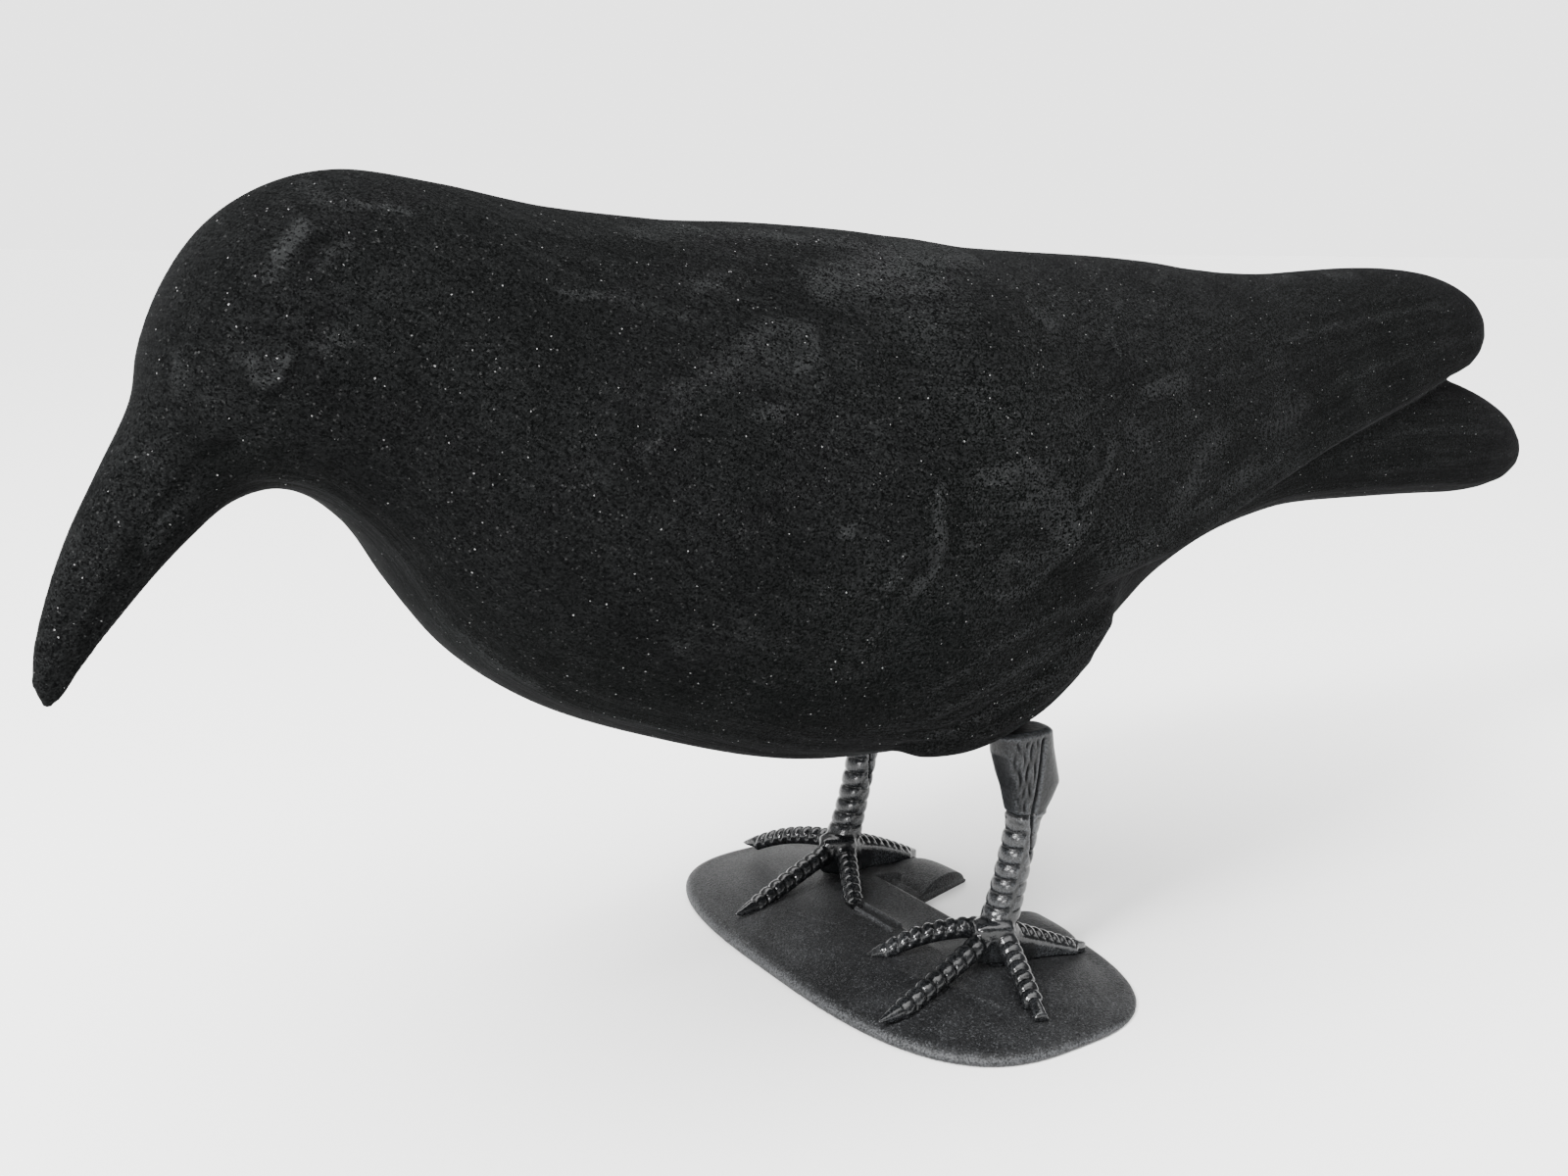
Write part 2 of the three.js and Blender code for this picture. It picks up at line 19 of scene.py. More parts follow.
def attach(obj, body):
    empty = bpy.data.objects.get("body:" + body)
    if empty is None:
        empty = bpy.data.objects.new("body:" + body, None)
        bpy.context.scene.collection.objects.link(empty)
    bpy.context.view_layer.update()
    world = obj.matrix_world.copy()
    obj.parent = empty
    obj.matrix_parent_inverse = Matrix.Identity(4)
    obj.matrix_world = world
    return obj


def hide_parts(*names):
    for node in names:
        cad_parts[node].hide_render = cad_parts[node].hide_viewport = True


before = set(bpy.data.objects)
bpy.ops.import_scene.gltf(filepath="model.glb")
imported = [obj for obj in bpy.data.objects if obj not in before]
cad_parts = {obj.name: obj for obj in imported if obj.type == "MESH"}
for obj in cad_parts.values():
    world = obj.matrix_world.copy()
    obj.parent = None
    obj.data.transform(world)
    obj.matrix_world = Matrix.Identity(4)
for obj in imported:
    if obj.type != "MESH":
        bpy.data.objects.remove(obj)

LOG = logging.getLogger("crow_decoy")
MM = 0.001
PlaceRule = Callable[[np.ndarray, np.ndarray], np.ndarray]
Socket = bpy.types.NodeSocket
Colour = tuple[float, float, float]
Path = tuple[tuple[float, float], ...]


class Side(Enum):
    """A side of the bird, as the sign of its y."""

    LEFT = -1
    RIGHT = 1


class Node(Enum):
    """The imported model's nodes."""

    BODY = "body"
    LEFT_LEG = "left_leg"
    RIGHT_LEG = "right_leg"
    BASE = "base"


def smoothstep(value: np.ndarray, low: float, high: float) -> np.ndarray:
    """Rises smoothly from 0 at low to 1 at high.

    Args:
        value: The numbers to ease.
        low: Where the rise starts.
        high: Where it ends.

    Returns:
        Numbers from 0 to 1.
    """
    share = np.clip((value - low) / (high - low), 0.0, 1.0)
    return share * share * (3.0 - 2.0 * share)


def powered(value: np.ndarray, power: float) -> np.ndarray:
    """Raises to a power and keeps the sign."""
    return np.sign(value) * np.abs(value) ** power


def blend(start: float | np.ndarray, end: float | np.ndarray, share: np.ndarray) -> np.ndarray:
    """Goes from start to end as share goes from 0 to 1."""
    return start + (end - start) * share


def bell(gap: np.ndarray, width: float) -> np.ndarray:
    """Falls from 1 where the gap is 0 toward 0 on both sides, over about a width."""
    return np.exp(-((gap / width) ** 2))


def ledge(gap: np.ndarray, slow: float, steep: float) -> np.ndarray:
    """Profiles a feather's edge: 1 on it, with a slow fall above it and a steep one below it."""
    return np.where(gap > 0, np.exp(-gap / slow), bell(gap, steep))


def at_poles(along: np.ndarray) -> np.ndarray:
    """Tells which shares along a form are at its two ends."""
    return (along < 1e-6) | (along > 1 - 1e-6)


def turned(one: np.ndarray, two: np.ndarray, angle: float) -> tuple[np.ndarray, np.ndarray]:
    """Turns pairs of coordinates by an angle in radians."""
    cosine, sine = math.cos(angle), math.sin(angle)
    return one * cosine - two * sine, one * sine + two * cosine


@dataclass(frozen=True)
class Spline:
    """A smooth curve through points, with the same spacing rule as the model's own curves."""

    points: np.ndarray

    def at(self, share: np.ndarray) -> np.ndarray:
        """Reads the curve.

        Args:
            share: Places along it, from 0 to 1.

        Returns:
            One row of coordinates for each place.
        """
        known = np.asarray(self.points, float)
        count = len(known)
        spot = np.clip(np.asarray(share, float), 0.0, 1.0) * (count - 1)
        left = np.minimum(spot.astype(int), count - 2)
        weight = (spot - left)[:, None]
        padded = np.vstack([2 * known[0] - known[1], known, 2 * known[-1] - known[-2]])
        before, start, end, after = (padded[left + step] for step in range(4))
        gap_a, gap_b, gap_c = (
            np.maximum(np.linalg.norm(two - one, axis=1)[:, None] ** 0.5, 1e-4)
            for one, two in ((before, start), (start, end), (end, after))
        )
        leave = (start - before) / gap_a - (end - before) / (gap_a + gap_b) + (end - start) / gap_b
        arrive = (end - start) / gap_b - (after - start) / (gap_b + gap_c) + (after - end) / gap_c
        leave, arrive = leave * gap_b, arrive * gap_b
        return (
            start
            + leave * weight
            + (3 * (end - start) - 2 * leave - arrive) * weight**2
            + (2 * (start - end) + leave + arrive) * weight**3
        )


@dataclass(frozen=True)
class Form:
    """A part of the bird as stations: top [x, z], low [x, z], half width, and where it is widest."""

    stations: tuple[tuple[float, ...], ...]
    square_top: float
    square_low: float

    def curves(self, share: np.ndarray) -> tuple[np.ndarray, np.ndarray, np.ndarray]:
        """Returns the top, the low and the girth at shares along the form."""
        table = np.array(self.stations)
        return tuple(Spline(table[:, cut]).at(share) for cut in (slice(0, 2), slice(2, 4), slice(4, 6)))

    def skin(self, turn: np.ndarray, along: np.ndarray) -> np.ndarray:
        """Finds points on the skin.

        Args:
            turn: Angles round from the top, in radians.
            along: Shares along the form.

        Returns:
            Points as rows of x, y, z.
        """
        top, low, girth = self.curves(along)
        half, widest = np.maximum(girth[:, 0], 0.0), girth[:, 1]
        rise, side = np.cos(turn), np.sin(turn)
        upper = rise > 0
        power = np.where(upper, 2 / self.square_top, 2 / self.square_low)
        height = widest + np.where(upper, 1 - widest, widest) * powered(rise, power)
        spot = low + (top - low) * height[:, None]
        return np.stack([spot[:, 0], half * powered(side, power), spot[:, 1]], axis=1)

    def read(self, x: np.ndarray, z: np.ndarray) -> tuple[np.ndarray, np.ndarray, np.ndarray]:
        """Finds where points of the middle plane lie on the form.

        Args:
            x: Their x.
            z: Their z.

        Returns:
            Shares along, shares of the height from the low edge, and the chords' lengths.
        """
        before, beyond = np.zeros_like(x), np.ones_like(x)
        seen = np.stack([x, z], axis=1)
        for _ in range(18):
            middle = (before + beyond) / 2
            top, low, _ = self.curves(middle)
            chord, reach = top - low, seen - low
            behind = chord[:, 1] * reach[:, 0] - chord[:, 0] * reach[:, 1] > 0
            before, beyond = np.where(behind, middle, before), np.where(behind, beyond, middle)
        top, low, _ = self.curves(before)
        chord = top - low
        length = np.maximum(np.linalg.norm(chord, axis=1), 1e-3)
        return before, np.sum(chord * (seen - low), axis=1) / length**2, length


TRUNK = Form(
    (
        (-182.8, 87.4, -182.8, 87.4, 0, 0.5),
        (-184.5, 91.5, -180.6, 89.4, 1.8, 0.5),
        (-184.2, 97, -177.6, 93.8, 3.2, 0.55),
        (-181.3, 107, -171.1, 101.7, 4.7, 0.55),
        (-177.1, 117.2, -164.5, 108.9, 6.4, 0.55),
        (-171.7, 127.5, -157.8, 115.4, 8.2, 0.52),
        (-165.2, 139.5, -151.0, 121.0, 11.5, 0.5),
        (-163.0, 148, -144.0, 123.1, 18.0, 0.5),
        (-158.2, 158.6, -137.0, 120.8, 22.0, 0.5),
        (-151.2, 168.0, -130.6, 115.6, 24.5, 0.5),
        (-141.6, 174.4, -124.4, 108.0, 26.5, 0.48),
        (-129.0, 177.6, -119.0, 98.4, 29.5, 0.46),
        (-112.0, 175.9, -110.9, 87.6, 35.0, 0.45),
        (-92.0, 172.3, -97.2, 77.0, 41.0, 0.45),
        (-68.0, 170.4, -75.0, 66.9, 46.5, 0.45),
        (-44.0, 169.9, -48.5, 57.8, 50.5, 0.45),
        (-20.0, 168.6, -22.0, 54.2, 51.5, 0.45),
        (4.0, 164.5, 2.0, 53.3, 47.5, 0.46),
        (27.0, 159.0, 22.0, 57.2, 40.5, 0.48),
        (50.0, 153.0, 43.0, 68.2, 31.0, 0.5),
        (72.0, 148.0, 66.0, 81.4, 24.5, 0.5),
        (96.0, 142.0, 92.0, 91.2, 21.0, 0.5),
        (124.0, 138.0, 122.0, 96.2, 18.0, 0.48),
        (154.0, 134.2, 154.0, 95.9, 16.5, 0.46),
        (184.0, 130.9, 186.0, 94.6, 16.0, 0.46),
        (206.0, 126.2, 209.0, 93.5, 15.0, 0.46),
        (222.4, 119.8, 223.2, 94.6, 12.5, 0.46),
        (232.8, 111.8, 232.4, 98.0, 8.5, 0.46),
        (238.2, 104.2, 238.2, 104.2, 0, 0.46),
    ),
    2.1,
    2.3,
)
MANTLE = Form(
    (
        (-74.0, 140.0, -74.0, 140.0, 0, 0.5),
        (-60.0, 163.0, -60.0, 108.0, 33, 0.5),
        (-36.0, 167.0, -36.0, 94.0, 44.5, 0.45),
        (-12.0, 167.6, -12.0, 87.0, 52.0, 0.38),
        (12.0, 165.2, 12.0, 86.0, 51.0, 0.24),
        (38.0, 164.0, 38.0, 92.0, 45.0, 0.12),
        (65.0, 162.6, 65.0, 99.0, 37.5, 0.08),
        (92.0, 159.8, 92.0, 105.0, 30.5, 0.08),
        (118.0, 158.8, 118.0, 111.0, 24.5, 0.09),
        (144.0, 160.0, 144.0, 117.0, 20.0, 0.11),
        (168.0, 160.2, 168.0, 122.5, 17.0, 0.15),
        (187.0, 158.2, 187.0, 127.0, 14.5, 0.22),
        (201.0, 154.2, 201.0, 129.5, 12.0, 0.35),
        (209.2, 149.0, 209.2, 133.6, 8.0, 0.45),
        (213.2, 141.8, 213.2, 141.8, 0, 0.5),
    ),
    2.2,
    2.0,
)


def lofted(around: int, rows: int, place: PlaceRule) -> bmesh.types.BMesh:
    """Makes a closed form whose rows and columns are placed by a rule.

    Args:
        around: Columns.
        rows: Rows from pole to pole.
        place: Takes angles round and shares along, and returns points.

    Returns:
        The form, for its caller to free.
    """
    shape = bmesh.new()
    bmesh.ops.create_uvsphere(shape, u_segments=around, v_segments=rows, radius=1.0)
    ball = np.array([vert.co for vert in shape.verts])
    turn = np.arctan2(ball[:, 1], ball[:, 0])
    along = np.arccos(np.clip(ball[:, 2], -1.0, 1.0)) / math.pi
    for vert, spot in zip(shape.verts, place(turn, along)):
        vert.co = spot
    bmesh.ops.recalc_face_normals(shape, faces=shape.faces)
    return shape


class Moulding:
    """Meshes of lofted forms, fused into one skin that can be carved."""

    def __init__(self, name: str, voxel: float) -> None:
        """Starts an empty piece.

        Args:
            name: The piece's name.
            voxel: Size of the grid that the forms are fused on, in millimetres.
        """
        self.name = name
        self.voxel = voxel
        self.rough = bpy.data.meshes.new(f"{name}_forms")
        self.forms = bmesh.new()

    def loft(self, around: int, rows: int, place: PlaceRule) -> None:
        """Adds a closed form whose rows and columns are placed by a rule.

        Args:
            around: Columns.
            rows: Rows from pole to pole.
            place: Takes angles round and shares along, and returns points.
        """
        shape = lofted(around, rows, place)
        part = bpy.data.meshes.new("part")
        shape.to_mesh(part)
        shape.free()
        self.forms.from_mesh(part)
        bpy.data.meshes.remove(part)

    def fused(self) -> "Carving":
        """Joins the forms into one closed skin.

        Returns:
            The skin, ready for carving.
        """
        self.forms.to_mesh(self.rough)
        self.forms.free()
        holder = bpy.data.objects.new(f"{self.name}_forms", self.rough)
        bpy.context.collection.objects.link(holder)
        grid = holder.modifiers.new("fuse", "REMESH")
        grid.mode = "VOXEL"
        grid.voxel_size = self.voxel
        bpy.context.view_layer.update()
        seen = holder.evaluated_get(bpy.context.evaluated_depsgraph_get())
        mesh = bpy.data.meshes.new_from_object(seen)
        bpy.data.objects.remove(holder)
        bpy.data.meshes.remove(self.rough)
        return Carving(self.name, mesh, self.voxel)


class Carving:
    """A closed skin in millimetres whose points are moved to carve it."""

    def __init__(self, name: str, mesh: bpy.types.Mesh, voxel: float) -> None:
        """Takes a fused mesh.

        Args:
            name: The piece's name.
            mesh: Its mesh, in millimetres.
            voxel: The spacing of its points.
        """
        self.name = name
        self.mesh = mesh
        self.voxel = voxel

    def points(self) -> np.ndarray:
        """Reads the points.

        Returns:
            Rows of x, y, z.
        """
        flat = np.empty(len(self.mesh.vertices) * 3, np.float32)
        self.mesh.vertices.foreach_get("co", flat)
        return flat.reshape(-1, 3).astype(float)

    def normals(self) -> np.ndarray:
        """Reads the normals of the points.

        Returns:
            Rows of x, y, z.
        """
        flat = np.empty(len(self.mesh.vertices) * 3, np.float32)
        self.mesh.vertex_normals.foreach_get("vector", flat)
        return flat.reshape(-1, 3).astype(float)

    def move(self, points: np.ndarray) -> None:
        """Puts the points in new places."""
        self.mesh.vertices.foreach_set("co", points.astype(np.float32).ravel())
        self.mesh.update()

    def smooth(self, rounds: int, where: np.ndarray | None = None) -> None:
        """Evens the skin out.

        Args:
            rounds: How many times.
            where: Which points move, or None for all.
        """
        shape = bmesh.new()
        shape.from_mesh(self.mesh)
        verts = [vert for vert in shape.verts if where is None or where[vert.index]]
        for _ in range(rounds):
            bmesh.ops.smooth_vert(
                shape, verts=verts, factor=0.5, use_axis_x=True, use_axis_y=True, use_axis_z=True
            )
        shape.to_mesh(self.mesh)
        shape.free()

    def raise_by(self, height: np.ndarray) -> None:
        """Moves each point out along its normal by a height in millimetres."""
        self.move(self.points() + self.normals() * height[:, None])

    def cut(self, tool: bmesh.types.BMesh) -> None:
        """Cuts a closed form away from the skin, and frees the form.

        Args:
            tool: The form to take away.
        """
        holder = bpy.data.objects.new("whole", self.mesh)
        cutter_mesh = bpy.data.meshes.new("cutter")
        tool.to_mesh(cutter_mesh)
        tool.free()
        cutter = bpy.data.objects.new("cutter", cutter_mesh)
        for item in (holder, cutter):
            bpy.context.collection.objects.link(item)
        step = holder.modifiers.new("cut", "BOOLEAN")
        step.operation = "DIFFERENCE"
        step.solver = "EXACT"
        step.object = cutter
        bpy.context.view_layer.update()
        seen = holder.evaluated_get(bpy.context.evaluated_depsgraph_get())
        mesh = bpy.data.meshes.new_from_object(seen)
        spent = self.mesh
        for item in (holder, cutter):
            bpy.data.objects.remove(item)
        for item in (spent, cutter_mesh):
            bpy.data.meshes.remove(item)
        self.mesh = mesh

    def crests(self) -> np.ndarray:
        """Measures how far each point stands out from its neighbours.

        Returns:
            Numbers from -1 in a hollow to 1 on a crest.
        """
        points, normals = self.points(), self.normals()
        ends = np.empty(len(self.mesh.edges) * 2, np.int32)
        self.mesh.edges.foreach_get("vertices", ends)
        ends = ends.reshape(-1, 2)
        count = np.bincount(ends.ravel(), minlength=len(points))[:, None]

        def spread(values: np.ndarray) -> np.ndarray:
            """Takes the mean of each point's neighbours.

            Args:
                values: Rows for the points.

            Returns:
                Rows of the means.
            """
            total = np.zeros_like(values)
            np.add.at(total, ends[:, 0], values[ends[:, 1]])
            np.add.at(total, ends[:, 1], values[ends[:, 0]])
            return total / np.maximum(count, 1)

        mean = points
        for _ in range(3):
            mean = spread(mean)
        out = np.sum((points - mean) * normals, axis=1, keepdims=True) / self.voxel
        return np.clip(spread(out)[:, 0] * 4.0, -1.0, 1.0)

    def finish(
        self, values: dict[str, np.ndarray], maps: dict[str, np.ndarray] | None = None
    ) -> bpy.types.Object:
        """Closes the carving as an object in metres.

        Args:
            values: Numbers to keep on the points, by name.
            maps: Pairs of lengths for the points, kept as UV maps by name.

        Returns:
            The finished object.
        """
        for name, numbers in values.items():
            kept = self.mesh.attributes.new(name, "FLOAT", "POINT")
            kept.data.foreach_set("value", numbers.astype(np.float32))
        corners = np.empty(len(self.mesh.loops), np.int32)
        self.mesh.loops.foreach_get("vertex_index", corners)
        for name, pairs in (maps or {}).items():
            layer = self.mesh.uv_layers.new(name=name)
            layer.data.foreach_set("uv", pairs[corners].astype(np.float32).ravel())
        self.move(self.points() * MM)
        self.mesh.shade_smooth()
        piece = bpy.data.objects.new(self.name, self.mesh)
        self.mesh.name = self.name
        bpy.context.collection.objects.link(piece)
        return piece


@dataclass(frozen=True)
class Mark:
    """A line in side view that is raised, or sunk where it is negative, and may be lightened, as dust and
    painted highlight, or barbed.
    """

    path: Path
    width: float
    raised: float = 0.0
    dust: float = 0.0
    barbed: bool = False

    def weight(self, x: np.ndarray, z: np.ndarray) -> np.ndarray:
        """Measures how strongly points lie on the line.

        Args:
            x: Their first coordinates.
            z: Their second coordinates.

        Returns:
            Numbers from 0 to 1.
        """
        line = Spline(np.array(self.path)).at(np.linspace(0, 1, 6 * len(self.path)))
        margin = 3.2 * self.width
        low, high = line.min(axis=0) - margin, line.max(axis=0) + margin
        near = np.flatnonzero((x > low[0]) & (x < high[0]) & (z > low[1]) & (z < high[1]))
        gap = np.full(len(near), np.inf)
        for one, two in zip(line[:-1], line[1:]):
            run = two - one
            off_x, off_z = x[near] - one[0], z[near] - one[1]
            share = np.clip((off_x * run[0] + off_z * run[1]) / max(float(run @ run), 1e-9), 0, 1)
            gap = np.minimum(gap, np.hypot(off_x - share * run[0], off_z - share * run[1]))
        out = np.zeros(len(x))
        out[near] = bell(gap, self.width)
        return out


@dataclass(frozen=True)
class Feather:
    """A feather in side view: sunk at its root, proud at its rounded end."""

    root: tuple[float, float]
    tip: tuple[float, float]
    width: float
    proud: float

    def relief(self, x: np.ndarray, z: np.ndarray) -> np.ndarray:
        """Measures how far points of the side view stand out on the feather.

        Args:
            x: Side-view x of the points.
            z: Side-view z of the points.

        Returns:
            Relief in millimetres.
        """
        start, end = np.array(self.root), np.array(self.tip)
        length = float(np.linalg.norm(end - start))
        heading = (end - start) / length
        along = (x - start[0]) * heading[0] + (z - start[1]) * heading[1]
        across = np.abs(-(x - start[0]) * heading[1] + (z - start[1]) * heading[0])
        radius = self.width / 2
        beyond = np.maximum(along - (length - radius), 0.0)
        inside = radius - np.hypot(across, beyond)
        share = np.clip(along / length, 0.0, 1.0)
        return self.proud * share**2.4 * smoothstep(inside, -0.8, 1.2)


@dataclass
class Crow:
    """The flocked bird: trunk, wings, tufts over the legs, and the carving under the flock.

    Places in side view are x and z. A ring round an eye is its radius, height and width. A row of the
    wing is its share of the wing's height, how far its edge stands out, and how wide it is. The shoulder
    is the front, rear, low and high end of the place where the wings leave the neck. A row of settling
    scales the dust haze before and after a change along the bird, and says where that starts and ends.
    """

    offset: float = 1.0
    voxel: float = 1.2
    eye: tuple[float, float] = (-148.8, 146.6)
    eye_ball: float = 2.7
    eye_rise: float = 0.7
    eye_squeeze: float = 1.12
    eye_rings: tuple[tuple[float, float, float], ...] = (
        (3.9, 0.25, 0.9), (5.6, -0.25, 1.8), (7.6, 0.1, 1.4),
    )
    tuft_size: tuple[float, float, float] = (35.5, 14.5, 18.5)
    tuft_place: tuple[float, float, float] = (7.0, 27.0, 79.0)
    tuft_turn: float = -26.0
    shoulder: tuple[float, float, float, float] = (-95, 24, 84, 174)
    shoulder_rounds: int = 14
    wing_slope: float = 0.229
    wing_rows: tuple[tuple[float, float, float], ...] = (
        (0.07, 0.4, 0.9), (0.15, 0.35, 1.0), (0.24, 0.4, 1.2), (0.36, 0.55, 1.6),
        (0.47, 0.3, 1.4), (0.57, 0.5, 1.8), (0.68, 0.25, 1.6), (0.8, 0.25, 1.8),
    )
    tail_rows: tuple[float, ...] = (0.12, 0.26, 0.4, 0.54, 0.68, 0.82)
    tail_raised: float = 0.4
    streak_pitch: float = 4.6
    streak_height: float = 0.13
    tuft_pitch: float = 5.2
    tuft_height: float = 0.22
    flow_length: float = 425.0
    flow_shift: float = 500.0
    settling: tuple[tuple[float, float, float, float], ...] = (
        (1.0, 0.8, 90, 190), (0.72, 1.0, -110, 10), (1.0, 0.88, 60, 130),
    )
    feathers: tuple[Feather, ...] = (
        Feather((-100, 124), (-53, 148), 17, 1.0),
        Feather((-66, 118), (-41, 103), 13, 0.8),
        Feather((-62, 127), (-30, 110), 21, 1.0),
        Feather((-46, 133), (9.5, 112), 37, 0.9),
        Feather((-64, 119), (-53, 111), 8, 0.4),
        Feather((-88, 106), (-83, 93.6), 8, 0.35),
    )
    # A mark's dust lightens the flock along it: partly dust, partly painted highlight where a ridge such as
    # the brow, the shoulder or the upper wing catches the light.
    marks: tuple[Mark, ...] = (
        # The head: brow, crown, eye, face and mouth.
        Mark(((-144.9, 162.4), (-142.3, 165.2), (-139.6, 168.0)), 0.8, 0.5, 1.9),
        Mark(((-146.9, 159.6), (-144.4, 162.0)), 1.0, 0.2, 0.5),
        Mark(((-138.4, 161.3), (-136.8, 163.8), (-133.9, 164.8)), 1.0, 0.1, 0.2),
        Mark(((-141.9, 160.0), (-138.6, 163.8), (-136.0, 166.3)), 0.9, -0.6),
        Mark(((-132.0, 171.3), (-127.5, 171.0), (-122.7, 170.2)), 0.8, 0.4, 0.6),
        Mark(((-136.4, 174.0), (-134.8, 172.0)), 1.3, 0.0, 0.4),
        Mark(((-151.0, 146.4), (-150.3, 144.2), (-149.0, 143.0)), 0.8, 0.3, 0.6),
        Mark(((-148.0, 143.6), (-146.8, 145.4), (-146.0, 147.0)), 0.8, 0.4, 1.2),
        Mark(((-153.6, 147.6), (-152.9, 150.4), (-151.0, 152.8)), 1.0, 0.1, 0.15),
        Mark(((-139.4, 149.0), (-137.4, 150.2)), 1.9, 0.3, 0.4),
        Mark(((-160.0, 147.7), (-160.6, 141.7)), 0.7, 0.15, 0.35),
        Mark(((-175.0, 102.0), (-165.8, 117.4), (-157.2, 130.0), (-149.5, 135.0)), 1.0, -0.9),
        Mark(((-152.0, 133.9), (-149.3, 135.2)), 0.9, 0.3, 0.4),
        Mark(((-165.6, 116.8), (-164.4, 120.6)), 1.7, 0.2, 0.35),
        # The shoulder, and the neck over it.
        Mark(
            ((-83.0, 140.2), (-71.2, 144.2), (-65.9, 148.1), (-60.0, 150.5), (-54.4, 149.9)),
            1.8, 0.2, 0.4,
        ),
        Mark(((-53.8, 150.4), (-54.1, 147.9), (-56.0, 144.7), (-59.7, 142.9)), 1.1, 0.3, 0.65),
        Mark(((-76.0, 142.3), (-66.0, 145.5), (-57.0, 147.0)), 3.6, 0.0, 0.24),
        Mark(((-69.9, 142.2), (-74.6, 140.9), (-83.1, 137.2), (-90.3, 129.7)), 1.7, 0.0, 0.26),
        Mark(((-68.8, 135.6), (-64.2, 136.3)), 1.2, 0.2, 0.55),
        Mark(((-100.0, 156.6), (-90.0, 156.0), (-82.0, 153.5), (-78.3, 152.8)), 0.9, 0.3, 0.35),
        Mark(((-73.4, 157.9), (-68.0, 158.5)), 1.2, 0.1, 0.4),
        Mark(
            ((-78.8, 167.5), (-62.4, 168.2), (-52.7, 167.4), (-38.0, 166.6), (-26.8, 165.1)),
            1.3, 0.2, 0.45,
        ),
        # The upper wing.
        Mark(((-47.3, 157.9), (-33.4, 160.3), (-18.0, 163.5), (-2.2, 164.0)), 2.8, 0.3, 0.75),
        Mark(((-41.5, 156.9), (-30.1, 158.0), (-20.7, 157.7)), 2.2, 0.0, 0.4),
        Mark(((4.4, 151.3), (6.8, 149.4)), 1.9, 0.2, 0.5),
        Mark(((26.1, 147.8), (27.3, 143.6)), 0.9, 0.4, 0.6),
        # Edges of the coverts.
        Mark(((-40.8, 108.3), (-42.0, 105.0), (-44.5, 102.7)), 0.9, 0.3, 0.5),
        Mark(((-53.6, 112.9), (-52.2, 114.0)), 1.1, 0.2, 0.6),
        Mark(((-84.4, 94.4), (-83.2, 93.4), (-82.0, 94.2)), 0.8, 0.2, 0.4),
        Mark(
            ((-32.0, 120.5), (-33.3, 114.0), (-32.3, 109.5), (-33.6, 104.0), (-39.3, 100.6)),
            1.0, 0.4, 0.7,
        ),
        Mark(((16.6, 126.6), (14.8, 122.4), (12.0, 119.6), (8.3, 117.8), (4.3, 115.2)), 0.9, 0.45, 0.75),
        Mark(((3.8, 111.4), (2.1, 105.8), (-0.5, 101.7), (-5.9, 98.4), (-15.9, 97.2)), 1.4, 0.25, 0.5),
        Mark(((-21.5, 121.6), (-15.7, 122.2), (-9.5, 123.4)), 1.4, 0.1, 0.5, True),
        Mark(((-7.0, 118.5), (-2.0, 114.5), (0.5, 108.0)), 4.2, 0.0, 0.4, True),
        Mark(((-16.0, 103.5), (-8.0, 104.0), (-2.0, 105.5)), 3.0, 0.0, 0.25, True),
        # Barbs and edges of the long feathers.
        Mark(((33.6, 135.0), (41.0, 135.6), (49.0, 136.2)), 1.6, 0.2, 0.5, True),
        Mark(((24.0, 128.2), (29.5, 124.4)), 2.2, 0.0, 0.35, True),
        Mark(((40.0, 109.2), (46.6, 112.8), (52.0, 118.6), (60.5, 122.3)), 3.2, 0.0, 0.45, True),
        Mark(((63.0, 111.2), (80.0, 114.8)), 1.7, 0.0, 0.4, True),
        Mark(((84.0, 122.0), (104.0, 126.5)), 2.4, 0.0, 0.25, True),
        Mark(((16.5, 99.4), (26.8, 103.6), (41.3, 106.4), (63.6, 109.4), (91.6, 115.2)), 1.3, 0.2, 0.35),
        Mark(((30.0, 93.2), (75.0, 103.4), (120.0, 113.6), (165.0, 123.9), (188.0, 128.8)), 0.8, 0.45, 0.7),
        Mark(((16.0, 98.0), (27.0, 102.6)), 2.6, 0.0, 0.3),
        # The end of the wing and the tail.
        Mark(((112.0, 158.0), (124.0, 158.2)), 1.2, 0.1, 0.35),
        Mark(((137.0, 158.6), (147.0, 158.9)), 1.2, 0.1, 0.4),
        Mark(((96.5, 142.5), (146.0, 147.5), (190.0, 151.0)), 1.0, 0.2, 0.2),
        Mark(((120.0, 131.5), (160.0, 137.5), (200.0, 141.5)), 1.0, 0.2, 0.22),
        Mark(((127.0, 110.5), (172.0, 115.5), (214.0, 112.7)), 1.0, 0.25, 0.22),
        Mark(((150.0, 105.0), (190.0, 106.0), (222.0, 105.0)), 1.0, 0.2, 0.18),
        # The belly.
        Mark(((-115.3, 95.5), (-109.0, 89.6), (-102.6, 84.5)), 0.9, 0.2, 0.35),
        Mark(((-27.5, 79.3), (-4.3, 88.9), (36.7, 89.4)), 1.1, 0.4, 0.25),
        Mark(((-24.0, 71.5), (2.0, 80.5), (32.0, 82.0)), 1.1, 0.4, 0.25),
        Mark(((-22.0, 64.0), (4.0, 72.0), (28.0, 74.0)), 1.1, 0.35, 0.2),
    )

    def tuft(self, side: Side, turn: np.ndarray, along: np.ndarray) -> np.ndarray:
        """Places the bulge of feathers over a leg.

        Args:
            side: Which leg.
            turn: Angles round it.
            along: Shares down it.

        Returns:
            Points.
        """
        long, wide, tall = self.tuft_size
        place_x, place_y, place_z = self.tuft_place
        x = long * np.sin(along * math.pi) * np.cos(turn)
        y = wide * np.sin(along * math.pi) * np.sin(turn)
        z = tall * np.cos(along * math.pi)
        x, z = turned(x, z, -math.radians(self.tuft_turn))
        return np.stack([x + place_x, y + side.value * place_y, z + place_z], axis=1)

